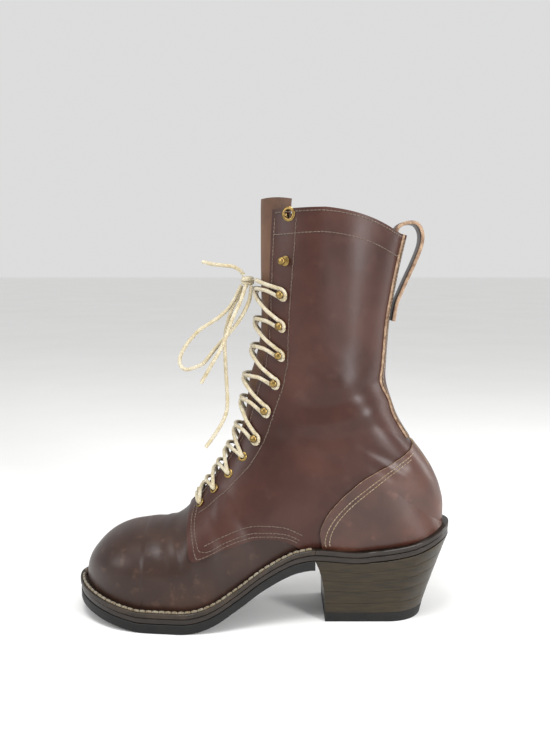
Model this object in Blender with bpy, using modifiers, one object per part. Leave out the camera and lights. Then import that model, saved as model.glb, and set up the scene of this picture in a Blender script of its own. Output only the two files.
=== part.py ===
"""A left logger boot, built from its leather, rubber, brass and cord pieces."""

import math

import bmesh
import bpy
import numpy as np
from mathutils import Matrix, Vector

# Sizes are in metres. The origin is on the floor under the middle of the heel.
# The toe points to minus X, and the outer side of the foot is at minus Y.

# Sole and heel
sole_length = 0.3155
ball_width = 0.1100
seat_width = 0.0720
side_swing = 0.0070
toe_round = 0.0580
heel_base_length = 0.0830
heel_base_width = 0.0610
heel_overhang = 0.0230
breast_flare = 0.0085
heel_height = 0.0460
seat_rise = 0.0180
toe_spring = 0.0120
outsole_thickness = 0.0078
midsole_thickness = 0.0050
welt_thickness = 0.0042
ring_width = 0.0150
insole_thickness = 0.0030
insole_play = 0.0014

# Upper
welt_margin = 0.0068
seat_margin = 0.0085
instep_height = 0.1960
collar_height = 0.3370
collar_drop = 0.0190
collar_arch = 0.0100
ankle_width = 0.0720
collar_width = 0.0840
wall = 0.0022
throat_gap = 0.0190
clearance = 0.0003

# Overlays
quarter_thickness = 0.0015
counter_thickness = 0.0018
backstay_thickness = 0.0016
backstay_width = 0.0270
counter_height = 0.0740
tongue_thickness = 0.0025
tongue_play = 0.0011
tongue_foot_width = 0.0260
tongue_top_width = 0.0640
strap_thickness = 0.0030
strap_width = 0.0200

# Lacing
first_eyelet = 0.0040
eyelet_pitch = 0.0178
first_hook = 0.0727
hook_share = 0.16738
top_eyelet_share = 0.22695
eyelet_inset = 0.0125
hook_inset = 0.0155
eyelet_count = 4
hook_count = 7
laced_hooks = 6
eyelet_hole = 0.0021
eyelet_flange = 0.0042
top_eyelet_hole = 0.0034
top_eyelet_flange = 0.0058
eyelet_barrel = 0.0005
flange_thickness = 0.0009
hook_base = 0.0040
hook_neck = 0.0016
hook_ball = 0.0032
hook_height = 0.0072
lace_radius = 0.0016

# How far the cutter that bares the vamp starts over its face, and reaches below it
relief_start = 0.00005
relief_skirt = 0.0060

# Facets
half_columns_front = 7
half_columns_back = 5
tongue_rows = 16
tongue_columns = 6
ring_steps = 8
hook_steps = 6
crossing_steps = 4

heel_back = heel_base_length / 2 + heel_overhang
toe_tip = heel_back - sole_length
breast = -heel_base_length / 2 - breast_flare
upper_toe = toe_tip + welt_margin
upper_back = heel_back - seat_margin
stack = outsole_thickness + midsole_thickness + welt_thickness
hook_pitch = hook_share * (collar_height - instep_height)
top_eyelet_step = top_eyelet_share * (collar_height - instep_height)

# The underside of the sole: share of the sole length from the heel, then shares of
# the heel height, of the toe spring and of the rise of the seat.
underside_rows = (
    ("heel back", 0.000, 0.960, 0.00, 1.00),
    ("seat rim", 0.021, 0.960, 0.00, 0.90),
    ("seat", 0.068, 0.960, 0.00, 0.58),
    ("seat front", 0.125, 0.960, 0.00, 0.25),
    ("under the ankle", 0.195, 0.960, 0.00, 0.05),
    ("seat bottom", 0.250, 0.945, 0.00, 0.00),
    ("breast", 0.365, 1.000, 0.00, 0.00),
    ("shank", 0.410, 0.960, 0.00, 0.00),
    ("shank front", 0.445, 0.870, 0.00, 0.00),
    ("arch", 0.480, 0.750, 0.00, 0.00),
    ("waist", 0.515, 0.609, 0.00, 0.00),
    ("waist front", 0.547, 0.452, 0.00, 0.00),
    ("ball rise", 0.582, 0.296, 0.00, 0.00),
    ("ball curve", 0.615, 0.161, 0.00, 0.00),
    ("ball foot", 0.648, 0.065, 0.00, 0.00),
    ("ball", 0.680, 0.013, 0.00, 0.00),
    ("tread start", 0.705, 0.000, 0.00, 0.00),
    ("tread end", 0.810, 0.000, 0.00, 0.00),
    ("toe rise", 0.853, 0.000, 0.16, 0.00),
    ("toe curve", 0.895, 0.000, 0.38, 0.00),
    ("toe lift", 0.935, 0.000, 0.60, 0.00),
    ("toe front", 0.975, 0.000, 0.84, 0.00),
    ("toe", 1.000, 0.000, 1.00, 0.00),
)

# The outline of the sole from above: share of the sole length from the heel, half
# width as shares of half the ball and half the seat, and the middle line's swing.
outline_rows = (
    ("heel back", 0.000, 0.000, 1.000, 0.00),
    ("seat", 0.182, 0.000, 0.986, 0.00),
    ("seat front", 0.277, 0.000, 1.000, -0.07),
    ("breast", 0.357, 0.050, 0.890, -0.29),
    ("shank", 0.436, 0.300, 0.530, -0.64),
    ("waist", 0.515, 0.620, 0.130, -0.97),
    ("ball rise", 0.594, 0.827, 0.000, -0.93),
    ("ball back", 0.664, 0.942, 0.000, -0.60),
    ("ball", 0.721, 1.000, 0.000, -0.20),
    ("ball front", 0.778, 1.000, 0.000, 0.07),
    ("toe back", 0.842, 0.980, 0.000, 0.36),
    ("toe", 0.895, 0.970, 0.000, 0.57),
    ("toe front", 0.959, 0.945, 0.000, 0.86),
    ("toe tip", 1.000, 0.930, 0.000, 1.00),
)

# The upper, a row for each section. A section is cut by a plane from its top on the
# ridge to its end, which is on the welt up to the row "heel" and on the back after it.
# top and end: shares of the upper's length from the back. level: 0 on the sole, 1 at
# the instep height, 2 at the collar height. rise: height of the end up the back.
# foot, ankle, collar: shares of half those widths. swing: side shift of the ridge.
# widest: where the section is widest, from top to end. bow: 2 is an ellipse.
# gap: share of the throat gap. steps: sections made from this row to the next.
section_rows = (
    # name, top, level, end, rise, foot, ankle, collar, swing, widest, bow, gap, steps
    ("toe tip", 1.0000, 0.000, 1.0000, 0.000, 1.04, 0.000, 0.000, 1.00, 0.60, 2.30, 0.00, 1),
    ("toe face", 0.9973, 0.070, 0.9973, 0.000, 1.04, 0.000, 0.000, 1.00, 0.60, 2.30, 0.00, 1),
    ("toe brow", 0.9893, 0.119, 0.9893, 0.000, 1.04, 0.000, 0.000, 0.99, 0.60, 2.30, 0.00, 1),
    ("toe crown", 0.9693, 0.177, 0.9693, 0.000, 1.04, 0.000, 0.000, 0.97, 0.61, 2.30, 0.00, 1),
    ("toe top", 0.9427, 0.231, 0.9427, 0.000, 1.04, 0.000, 0.000, 0.94, 0.62, 2.30, 0.00, 1),
    ("toe box", 0.9127, 0.272, 0.9127, 0.000, 1.04, 0.000, 0.000, 0.90, 0.62, 2.28, 0.00, 1),
    ("toe back", 0.8728, 0.308, 0.8728, 0.000, 1.04, 0.000, 0.000, 0.83, 0.62, 2.22, 0.00, 1),
    ("vamp", 0.8211, 0.333, 0.8211, 0.000, 1.04, 0.000, 0.000, 0.72, 0.62, 2.15, 0.00, 1),
    ("ball", 0.7695, 0.346, 0.7695, 0.000, 1.04, 0.000, 0.000, 0.60, 0.62, 2.08, 0.00, 1),
    ("vamp rise", 0.7295, 0.371, 0.7295, 0.000, 1.04, 0.000, 0.000, 0.50, 0.62, 2.00, 0.00, 1),
    ("vamp point", 0.6979, 0.421, 0.6929, 0.000, 1.02, 0.040, 0.000, 0.45, 0.62, 1.93, 0.00, 1),
    ("throat", 0.6779, 0.454, 0.6462, 0.000, 0.93, 0.130, 0.000, 0.40, 0.63, 1.88, 0.45, 2),
    ("instep low", 0.6462, 0.521, 0.5796, 0.000, 0.70, 0.360, 0.000, 0.32, 0.66, 1.83, 0.50, 2),
    ("instep", 0.6079, 0.618, 0.4863, 0.000, 0.45, 0.600, 0.000, 0.22, 0.69, 1.80, 0.55, 2),
    ("instep high", 0.5779, 0.716, 0.3698, 0.000, 0.22, 0.780, 0.000, 0.12, 0.66, 1.80, 0.60, 2),
    ("ankle front", 0.5596, 0.820, 0.2532, 0.000, 0.08, 0.870, 0.000, 0.05, 0.62, 1.84, 0.66, 2),
    ("heel front", 0.5513, 0.905, 0.1532, 0.000, 0.00, 0.930, 0.000, 0.00, 0.59, 1.88, 0.70, 1),
    ("heel side", 0.5486, 0.955, 0.0916, 0.000, 0.00, 0.930, 0.000, 0.00, 0.57, 1.90, 0.72, 1),
    ("heel turn", 0.5463, 0.995, 0.0466, 0.000, 0.00, 0.930, 0.000, 0.00, 0.56, 1.92, 0.74, 1),
    ("heel round", 0.5440, 1.028, 0.0167, 0.000, 0.00, 0.930, 0.000, 0.00, 0.55, 1.94, 0.76, 1),
    ("heel", 0.5413, 1.060, 0.0000, 0.000, 0.00, 0.930, 0.000, 0.00, 0.54, 1.95, 0.78, 1),
    ("heel swell", 0.5330, 1.113, 0.0003, 0.064, 0.00, 0.930, 0.000, 0.00, 0.53, 1.97, 0.81, 1),
    ("heel top", 0.5263, 1.163, 0.0100, 0.124, 0.00, 0.935, 0.000, 0.00, 0.52, 1.98, 0.84, 1),
    ("heel neck", 0.5203, 1.213, 0.0300, 0.184, 0.00, 0.945, 0.000, 0.00, 0.51, 2.00, 0.87, 1),
    ("tendon low", 0.5157, 1.270, 0.0580, 0.239, 0.00, 0.960, 0.000, 0.00, 0.50, 1.92, 0.90, 1),
    ("tendon", 0.5123, 1.340, 0.0966, 0.303, 0.00, 0.980, 0.000, 0.00, 0.49, 1.86, 0.93, 1),
    ("ankle", 0.5113, 1.440, 0.1412, 0.402, 0.00, 1.000, 0.000, 0.00, 0.48, 1.78, 0.98, 1),
    ("ankle top", 0.5120, 1.580, 0.1669, 0.530, 0.00, 0.900, 0.120, 0.00, 0.47, 1.70, 1.06, 1),
    ("shaft", 0.5130, 1.723, 0.1612, 0.679, 0.00, 0.600, 0.420, 0.00, 0.46, 1.64, 1.12, 1),
    ("shaft top", 0.5130, 1.865, 0.1399, 0.855, 0.00, 0.250, 0.760, 0.00, 0.45, 1.62, 1.18, 1),
    ("collar", 0.5130, 2.000, 0.1149, 1.000, 0.00, 0.000, 1.000, 0.00, 0.45, 1.62, 1.22, 1),
    ("above collar", 0.5121, 2.070, 0.1049, 1.050, 0.00, 0.000, 1.020, 0.00, 0.45, 1.62, 1.24, 0),
)
section_names = [row[0] for row in section_rows]
vamp_row = section_names.index("vamp")
vamp_point = section_names.index("vamp point")
throat = section_names.index("throat")
ankle_row = section_names.index("ankle")
heel_row = section_names.index("heel")
collar_row = section_names.index("collar")

# Outline of the quarters on the vamp, from the side: share of the upper's length
# from the back, and share of the instep height.
quarter_edge = (
    ("throat", 0.694, 0.560),
    ("front", 0.7045, 0.455),
    ("front low", 0.701, 0.395),
    ("corner", 0.6920, 0.312),
    ("corner back", 0.6700, 0.300),
    ("low edge", 0.6030, 0.338),
    ("arch", 0.5250, 0.369),
    ("top of arch", 0.4800, 0.371),
    ("arch back", 0.4350, 0.357),
    ("welt", 0.3950, 0.318),
    ("under", 0.3750, 0.250),
)

# Edge of the counter, from the side: share of the upper's length from the back, and
# share of the counter's height above the lowest point of the seat.
counter_edge = (
    ("under", 0.331, -0.250),
    ("welt", 0.336, 0.060),
    ("front", 0.341, 0.170),
    ("front high", 0.333, 0.300),
    ("front turn", 0.314, 0.435),
    ("rise", 0.286, 0.565),
    ("slope", 0.251, 0.700),
    ("slope high", 0.216, 0.812),
    ("shoulder", 0.145, 0.968),
    ("shoulder back", 0.100, 1.075),
    ("back", 0.065, 1.170),
    ("back top", 0.035, 1.200),
)

# The pull loop: height over the back of the collar, and distance out from the back.
loop_rows = (
    ("tail", -0.0700, 0.0054),
    ("stitched end", -0.0560, 0.0056),
    ("lift", -0.0450, 0.0082),
    ("bow low", -0.0340, 0.0112),
    ("bow", -0.0210, 0.0142),
    ("bow high", -0.0080, 0.0160),
    ("top back", 0.0020, 0.0140),
    ("top", 0.0088, 0.0080),
    ("over the rim", 0.0095, 0.0000),
    ("inside top", 0.0050, -0.0066),
    ("inside", -0.0090, -0.0066),
    ("inside low", -0.0220, -0.0066),
    ("inside tail", -0.0340, -0.0066),
)

# Heel seams as shares of the height of the seat, from the floor up.
lift_seams = (0.0, 0.150, 0.315, 0.515, 0.685, 0.845, 1.0)

# The free lace. Each point: distance ahead of the knot, out to the side and up.
knot_size = (0.0062, 0.0050, 0.0046)
tie_droop = 0.25
loop_route = (
    (-0.0030, -0.0022, -0.0044),
    (-0.0015, -0.0070, -0.0160),
    (0.0040, -0.0110, -0.0280),
    (0.0110, -0.0140, -0.0380),
    (0.0190, -0.0170, -0.0470),
    (0.0270, -0.0190, -0.0560),
    (0.0350, -0.0200, -0.0660),
    (0.0430, -0.0200, -0.0700),
    (0.0500, -0.0190, -0.0715),
    (0.0545, -0.0170, -0.0680),
    (0.0545, -0.0150, -0.0610),
    (0.0490, -0.0130, -0.0510),
    (0.0390, -0.0110, -0.0400),
    (0.0250, -0.0085, -0.0310),
    (0.0150, -0.0060, -0.0220),
    (0.0090, -0.0030, -0.0120),
    (0.0050, -0.0008, -0.0040),
)
end_a_route = (
    (0.0030, 0.0000, 0.0048),
    (0.0065, -0.0010, 0.0085),
    (0.0120, -0.0020, 0.0115),
    (0.0200, -0.0030, 0.0125),
    (0.0290, -0.0040, 0.0135),
    (0.0370, -0.0050, 0.0155),
)
end_b_route = (
    (0.0010, -0.0050, -0.0035),
    (0.0060, -0.0120, -0.0180),
    (0.0120, -0.0170, -0.0310),
    (0.0165, -0.0215, -0.0440),
    (0.0220, -0.0240, -0.0560),
    (0.0290, -0.0250, -0.0680),
    (0.0370, -0.0250, -0.0820),
)
strand_route = (
    (0.0010, 0.0032, -0.0044),
    (0.0110, 0.0025, -0.0190),
    (0.0165, 0.0010, -0.0340),
    (0.0190, -0.0020, -0.0490),
    (0.0185, -0.0060, -0.0640),
    (0.0175, -0.0110, -0.0790),
    (0.0165, -0.0150, -0.0940),
    (0.0170, -0.0180, -0.1060),
    (0.0210, -0.0200, -0.1160),
    (0.0280, -0.0220, -0.1270),
    (0.0340, -0.0240, -0.1350),
)


def smooth(places, values, at):
    """A curve through a table's values that never passes beyond two neighbours."""
    places = np.asarray(places, float)
    values = np.asarray(values, float)
    at = float(min(max(at, places[0]), places[-1]))
    gaps = np.diff(places)
    slopes = np.diff(values) / gaps
    bends = np.zeros(len(places))
    bends[0] = slopes[0]
    bends[-1] = slopes[-1]
    for i in range(1, len(places) - 1):
        if slopes[i - 1] * slopes[i] > 0:
            before = 2 * gaps[i] + gaps[i - 1]
            after = gaps[i] + 2 * gaps[i - 1]
            bends[i] = (before + after) / (before / slopes[i - 1] + after / slopes[i])
    i = min(int(np.searchsorted(places, at, side="right")) - 1, len(gaps) - 1)
    u = (at - places[i]) / gaps[i]
    start = (1 + 2 * u) * (1 - u) ** 2 * values[i] + u * (1 - u) ** 2 * gaps[i] * bends[i]
    finish = u * u * (3 - 2 * u) * values[i + 1] + u * u * (u - 1) * gaps[i] * bends[i + 1]
    return start + finish


def rounded_route(points, per_span):
    """A smooth curve through a few chosen points."""
    route = []
    ends = [2 * points[0] - points[1]] + list(points) + [2 * points[-1] - points[-2]]
    for a, b, c, d in zip(ends, ends[1:], ends[2:], ends[3:]):
        for step in range(per_span):
            u = step / per_span
            pull = (2 * a - 5 * b + 4 * c - d) * u * u + (3 * b - a - 3 * c + d) * u ** 3
            route.append(b + 0.5 * ((c - a) * u + pull))
    route.append(points[-1])
    return route


def table_value(rows, column, at):
    return smooth([row[1] for row in rows], [row[column] for row in rows], at)


def underside(x):
    """Height of the underside of the sole."""
    share = (heel_back - x) / sole_length
    heel = table_value(underside_rows, 2, share) * heel_height
    toe = table_value(underside_rows, 3, share) * toe_spring
    return heel + toe + table_value(underside_rows, 4, share) * seat_rise


def round_end(distance, radius):
    share = min(max(distance / radius, 0), 1)
    return math.sqrt(1 - (1 - share) ** 2)


def edges(x, front_inset, back_inset):
    """The outer and inner sides of the sole at x, drawn in by an inset."""
    share = (heel_back - x) / sole_length
    middle = table_value(outline_rows, 4, share) * side_swing
    half = table_value(outline_rows, 2, share) * ball_width / 2
    half += table_value(outline_rows, 3, share) * seat_width / 2
    change = smooth((0.0, 0.25, 0.55, 1.0), (0.0, 0.0, 1.0, 1.0), share)
    half -= back_inset + (front_inset - back_inset) * change
    half *= round_end(x - toe_tip - front_inset, toe_round - front_inset)
    half *= round_end(heel_back - back_inset - x, seat_width / 2 - back_inset)
    return middle - half, middle + half


def section_value(column, row):
    return smooth(range(len(section_rows)), [r[column] for r in section_rows], row)


def on_upper(share):
    return upper_back - share * (upper_back - upper_toe)


def section(row):
    """The sizes of one section of the upper."""
    top_x = on_upper(section_value(1, row))
    end_x = on_upper(section_value(3, row))
    sole_z = underside(top_x) + stack + clearance
    level = section_value(2, row)
    top_z = sole_z + (instep_height - sole_z) * min(level, 1)
    top_z += (collar_height - instep_height) * max(level - 1, 0)
    end_z = underside(end_x) + stack + clearance
    if row > heel_row:
        seat_z = underside(upper_back) + stack + clearance
        end_z = seat_z + (collar_height - collar_drop - seat_z) * section_value(4, row)
    outer, inner = edges(end_x, welt_margin, seat_margin)
    if row >= heel_row:
        outer = inner = 0.0
    foot = section_value(5, row)
    middle = (outer + inner) / 2 * min(foot, 1)
    half = foot * (inner - outer) / 2 + section_value(6, row) * ankle_width / 2
    half += section_value(7, row) * collar_width / 2
    tuck = math.cos(math.radians(14))
    half = max(half, (middle - outer) / tuck, (inner - middle) / tuck)
    return {
        "top": (top_x, section_value(8, row) * side_swing, top_z),
        "end": (end_x, end_z),
        "welt": (outer, inner),
        "middle": middle,
        "half": half,
        "widest": section_value(9, row),
        "bow": section_value(10, row),
        "gap": section_value(11, row) * throat_gap,
        "arch": collar_arch * max((row - ankle_row) / (collar_row - ankle_row), 0) ** 1.5,
    }


def on_section(cut, t, side):
    """A point of a section: t is 0 on the ridge, 0.5 at the widest and 1 at the end."""
    top_x, top_y, top_z = cut["top"]
    end_x, end_z = cut["end"]
    widest_y = cut["middle"] + side * cut["half"]
    if t <= 0.5:
        turn = t * math.pi
        power = 2 / cut["bow"]
        across = top_y + (widest_y - top_y) * math.sin(turn) ** power
        along = cut["widest"] * (1 - max(math.cos(turn), 0) ** power)
    else:
        welt_y = cut["welt"][0 if side < 0 else 1]
        ratio = (welt_y - cut["middle"]) / (widest_y - cut["middle"]) if cut["half"] else 1.0
        last = math.acos(min(max(ratio, 0), 1))
        turn = (2 * t - 1) * last
        across = cut["middle"] + (widest_y - cut["middle"]) * math.cos(turn)
        reach = math.sin(turn) / math.sin(last) if last > 1e-6 else 2 * t - 1
        along = cut["widest"] + (1 - cut["widest"]) * reach
    lifted = cut["arch"] * max(math.sin(math.pi * min(t / 0.88, 1) ** 1.5), 0) ** 1.5
    return Vector((top_x + (end_x - top_x) * along, across, top_z + (end_z - top_z) * along + lifted))


def across_from_ridge(cut, distance, side):
    """Where on a section the surface is this far to one side of its ridge."""
    reach = abs(cut["middle"] + side * cut["half"] - cut["top"][1])
    share = min(distance / reach, 1) if reach else 0
    return math.asin(share ** (cut["bow"] / 2)) / math.pi


def surface(row, t):
    """A point of the upper's outside and the way that it faces. t is under 0 on the outer side."""
    step = 0.004
    side = -1 if t < 0 else 1
    here = on_section(section(row), abs(t), side)
    ahead = max(row - step * 5, 0.5)
    behind = min(row + step * 5, len(section_rows) - 1)
    along = on_section(section(behind), abs(t), side) - on_section(section(ahead), abs(t), side)
    near = max(abs(t) - step, 0)
    far = min(abs(t) + step, 1)
    cut = section(row)
    around = on_section(cut, far, side) - on_section(cut, near, side)
    facing = along.cross(around) * side
    return here, facing.normalized()


def fine_rows(last_row):
    """The rows at which sections are made, with the steps between them."""
    rows = []
    for i in range(last_row):
        steps = section_rows[i][12]
        rows += [i + k / steps for k in range(steps)]
    return rows + [last_row]


upper_rows = fine_rows(collar_row)
welt_stations = sorted({on_upper(section_value(3, row)) for row in upper_rows if row <= heel_row})
toe_stations = [toe_tip + d for d in (0.0, 0.0006, 0.0024, 0.0050)]
heel_stations = [heel_back - d for d in (0.0, 0.0006, 0.0026, 0.0055)]
stations = sorted(toe_stations + welt_stations + heel_stations)
station_tops = [underside(x) + stack for x in stations]


def sole_top(x):
    """Height of the sole's top surface, flat between its stations."""
    return float(np.interp(x, stations, station_tops))


parts = bpy.data.collections.new("logger_boot")
cutters = bpy.data.collections.new("cutters")


def clear_scene():
    for old in list(bpy.data.objects):
        bpy.data.objects.remove(old, do_unlink=True)
    bpy.context.scene.collection.children.link(parts)
    bpy.context.scene.collection.children.link(cutters)


def material(name, colour, roughness, metallic=0.0):
    made = bpy.data.materials.get(name) or bpy.data.materials.new(name)
    made.use_nodes = True
    shader = made.node_tree.nodes["Principled BSDF"]
    shader.inputs["Base Color"].default_value = (*colour, 1.0)
    shader.inputs["Roughness"].default_value = roughness
    shader.inputs["Metallic"].default_value = metallic
    return made


def brown_leather():
    return material("oiled_brown_leather", (0.075, 0.028, 0.020), 0.42)


def sole_leather():
    return material("sole_leather", (0.060, 0.042, 0.028), 0.55)


def tan_leather():
    return material("insole_leather", (0.42, 0.27, 0.15), 0.70)


def rubber():
    return material("black_rubber", (0.018, 0.018, 0.018), 0.65)


def brass():
    return material("brass", (0.60, 0.43, 0.17), 0.30, 1.0)


def cord():
    return material("braided_cord", (0.62, 0.52, 0.33), 0.80)


def add_part(name, mesh, finish, smooth_angle=40):
    part = bpy.data.objects.new(name, mesh)
    if not mesh.materials:
        mesh.materials.append(finish)
    mesh.shade_smooth()
    mesh.set_sharp_from_angle(angle=math.radians(smooth_angle))
    parts.objects.link(part)
    return part


def add_cutter(name, mesh):
    cutter = bpy.data.objects.new(name, mesh)
    cutter.hide_render = True
    cutter.display_type = "WIRE"
    cutters.objects.link(cutter)
    return cutter


def boolean(part, other, operation, solver="EXACT"):
    change = part.modifiers.new(operation.lower() + "_" + other.name, "BOOLEAN")
    change.operation = operation
    change.object = other
    change.solver = solver


def settled_mesh(part):
    """The part's mesh with its modifiers applied."""
    graph = bpy.context.evaluated_depsgraph_get()
    return bpy.data.meshes.new_from_object(part.evaluated_get(graph))


def closed_mesh(name, points, faces):
    """A mesh from faces, with equal points joined and its faces turned outwards."""
    work = bmesh.new()
    verts = [work.verts.new(p) for p in points]
    for face in faces:
        corners = [verts[k] for k in dict.fromkeys(face)]
        if len(corners) > 2:
            work.faces.new(corners)
    bmesh.ops.delete(work, geom=[v for v in verts if not v.link_faces], context="VERTS")
    bmesh.ops.remove_doubles(work, verts=work.verts, dist=1e-7)
    bmesh.ops.dissolve_degenerate(work, edges=work.edges, dist=1e-7)
    bmesh.ops.recalc_face_normals(work, faces=work.faces)
    if work.calc_volume(signed=True) < 0:
        bmesh.ops.reverse_faces(work, faces=work.faces)
    mesh = bpy.data.meshes.new(name)
    work.to_mesh(mesh)
    work.free()
    return mesh


def loft(name, rings):
    """A closed solid through rings of equally many points, with flat ends."""
    count = len(rings[0])
    points = [p for ring in rings for p in ring]
    faces = [tuple(range(count)), tuple(range(len(points) - count, len(points)))]
    for i in range(len(rings) - 1):
        for k in range(count):
            a = i * count + k
            b = i * count + (k + 1) % count
            faces.append((a, b, b + count, a + count))
    return closed_mesh(name, points, faces)


def prism(name, outline, low, high):
    """A side outline of x and z, carried across from low to high."""
    count = len(outline)
    points = [Vector((x, low, z)) for x, z in outline]
    points += [Vector((x, high, z)) for x, z in outline]
    faces = [tuple(range(count)), tuple(range(2 * count - 1, count - 1, -1))]
    for k in range(count):
        after = (k + 1) % count
        faces.append((k, after, after + count, k + count))
    return closed_mesh(name, points, faces)


def plate(name, start, stop, front_inset, back_inset, low, high):
    """A layer of the sole. low and high are heights over the sole's top surface."""
    front = max(start, toe_tip + front_inset)
    back = min(stop, heel_back - back_inset)
    places = [x for x in stations if front + 1e-4 < x < back - 1e-4]
    if start < front:
        places = [front + d for d in (0.0, 0.0006, 0.0024) if front + d < places[0]] + places
    if stop > back:
        places += [back - d for d in (0.0024, 0.0006, 0.0) if back - d > places[-1]]
    if start >= front:
        places.insert(0, front)
    if stop <= back:
        places.append(back)
    rings = []
    for x in places:
        outer, inner = edges(x, front_inset, back_inset)
        bottom = sole_top(x) + low
        top = sole_top(x) + high
        corners = ((outer, bottom), (inner, bottom), (inner, top), (outer, top))
        rings.append([Vector((x, y, z)) for y, z in corners])
    return loft(name, rings)


def make_sole():
    far = 1.0
    bottom = -stack
    midsole_low = outsole_thickness - stack
    welt_low = -welt_thickness
    outsole = plate("outsole", -far, breast, 0.0006, 0, bottom, midsole_low)
    add_part("outsole", outsole, rubber(), 30)
    midsole = plate("midsole", -far, far, 0.0010, 0.0004, midsole_low + clearance, welt_low)
    add_part("midsole", midsole, sole_leather(), 30)
    hole = plate("ring_hole", -far, far, ring_width, ring_width, -0.03, 0.03)
    hole_cutter = add_cutter("ring_hole", hole)
    welt = plate("welt", -far, breast - clearance, 0, 0, welt_low + clearance, 0)
    boolean(add_part("welt", welt, sole_leather(), 30), hole_cutter, "DIFFERENCE")
    rand = plate("heel_rand", breast, far, 0, 0, welt_low + clearance, 0)
    boolean(add_part("heel_rand", rand, sole_leather(), 30), hole_cutter, "DIFFERENCE")
    side = wall + insole_play
    board = plate(
        "insole", -far, far, welt_margin + side, seat_margin + side, clearance, insole_thickness
    )
    add_part("insole", board, tan_leather(), 30)


def heel_outline(height_share, u):
    """A point and half width of the heel: u runs from the breast to the back."""
    front = -heel_base_length / 2 - breast_flare * height_share ** 3
    back = heel_base_length / 2 + (heel_overhang - clearance) * height_share ** 1.25
    half = heel_base_width / 2 + (seat_width - heel_base_width) / 2 * height_share ** 1.2
    x = front + (back - front) * u
    return x, half * round_end(back - x, half)


def seat_underside(x):
    return sole_top(min(x, heel_back)) + outsole_thickness - stack


def make_heel():
    turns = [math.cos(math.pi / 2 * k / 7) for k in range(7, -1, -1)]
    for k in range(len(lift_seams) - 1):
        rings = []
        low, high = lift_seams[k], lift_seams[k + 1]
        for u in [0.0, 0.25] + [0.5 + 0.5 * math.sin(math.acos(c)) for c in reversed(turns)]:
            ring = []
            for share, shift in ((low, 0.0), (high, -clearance)):
                x, half = heel_outline(share, u)
                z = seat_underside(x) * share + shift
                ring.append((Vector((x, -half, z)), Vector((x, half, z))))
            rings.append([ring[0][0], ring[0][1], ring[1][1], ring[1][0]])
        name = "top_lift" if k == 0 else f"heel_lift_{k}"
        finish = rubber() if k == 0 else sole_leather()
        add_part(name, loft(name, rings), finish, 30)


def upper_grid():
    """The rows of the upper, each with its points and facings from the outer end to the inner."""
    grid = []
    for row in upper_rows:
        cut = section(row)
        line = []
        for side in (-1, 1):
            start = across_from_ridge(cut, cut["gap"], side) if row > vamp_point else 0
            front = half_columns_front
            places = [start + (0.5 - start) * k / front for k in range(front)]
            places += [0.5 + 0.5 * k / half_columns_back for k in range(half_columns_back + 1)]
            half_line = []
            for t in places:
                point, facing = surface(row, side * max(t, 1e-9))
                if row == 0:
                    facing = Vector((-1, 0, 0))
                if row >= heel_row and t == 1:
                    facing = Vector((facing.x, 0, facing.z)).normalized()
                if row <= vamp_point and t == 0 and row > 0:
                    facing = Vector((facing.x, 0, facing.z)).normalized()
                half_line.append((point, facing))
            line += half_line[::-1] if side < 0 else half_line
        grid.append((row, line))
    return grid


def layer(grid, distance, front_distance=None, skirt=0.0):
    """The grid moved outwards, by another distance up to the vamp's row if one is given.

    A skirt adds a point below each end of a row.
    """
    lines = []
    for row, line in grid:
        reach = distance if front_distance is None or row > vamp_row else front_distance
        points = [point + facing * reach for point, facing in line]
        if row <= heel_row:
            for k in (0, -1):
                point, facing = line[k]
                points[k] = point + Vector((facing.x, facing.y, 0)).normalized() * reach
                points[k].z = sole_top(points[k].x) + clearance
        if skirt:
            drop = Vector((0, 0, skirt))
            points = [points[0] - drop] + points + [points[-1] - drop]
        lines.append((row, points))
    return lines


def shell(name, outer, inner, over_throat=False):
    """A closed shell between two layers of the same rows."""
    rows = [row for row, _ in outer]
    width = len(outer[0][1])
    last = width - 1
    middle = width // 2
    points = [p for _, line in outer + inner for p in line]
    shift = len(points) // 2
    same = list(range(shift))
    for i, row in enumerate(rows):
        if row <= vamp_point:
            same[i * width + middle] = i * width + middle - 1
        if row >= heel_row:
            same[i * width + last] = i * width
        if row == 0:
            same[i * width:(i + 1) * width] = [i * width] * width
    faces = []
    for i in range(len(outer) - 1):
        for k in range(last):
            if k == middle - 1 and not over_throat:
                continue
            below = i * width + k
            above = below + width
            if k < middle:
                halves = ((below, below + 1, above + 1), (below, above + 1, above))
            else:
                halves = ((below, below + 1, above), (below + 1, above + 1, above))
            for half in halves:
                corners = list(dict.fromkeys(same[c] for c in half))
                if len(corners) == 3:
                    faces.append(corners)
    sides = {(a, b) for face in faces for a, b in zip(face, face[1:] + face[:1])}
    rims = [(b, a, a + shift, b + shift) for a, b in sorted(sides) if (b, a) not in sides]
    inner_faces = [[c + shift for c in reversed(face)] for face in faces]
    return closed_mesh(name, points, faces + rims + inner_faces)


def side_line(rows, base, reach):
    """A smooth side outline from rows of a place along the upper and a height."""
    points = [Vector((on_upper(row[1]), base + row[2] * reach)) for row in rows]
    return rounded_route(points, 2)


def vamp_outline():
    """The side of the vamp that the quarters leave bare."""
    line = [(p.x, p.y) for p in side_line(quarter_edge, 0, instep_height)]
    far_x = toe_tip - 0.1
    return line + [(line[-1][0], -0.05), (far_x, -0.05), (far_x, collar_height), (line[0][0], collar_height)]


def counter_outline():
    base = underside(breast) + stack
    line = [(p.x, p.y) for p in side_line(counter_edge, base, counter_height)]
    far_x = heel_back + 0.1
    return line + [(far_x, line[-1][1]), (far_x, line[0][1])]


def cut_from_shell(name, mesh, outline, half_width):
    """A piece of a shell inside a side outline."""
    window = add_cutter(name + "_outline", prism(name + "_outline", outline, -half_width, half_width))
    piece = add_part(name, mesh, brown_leather())
    boolean(piece, window, "INTERSECT")
    return piece


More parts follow.
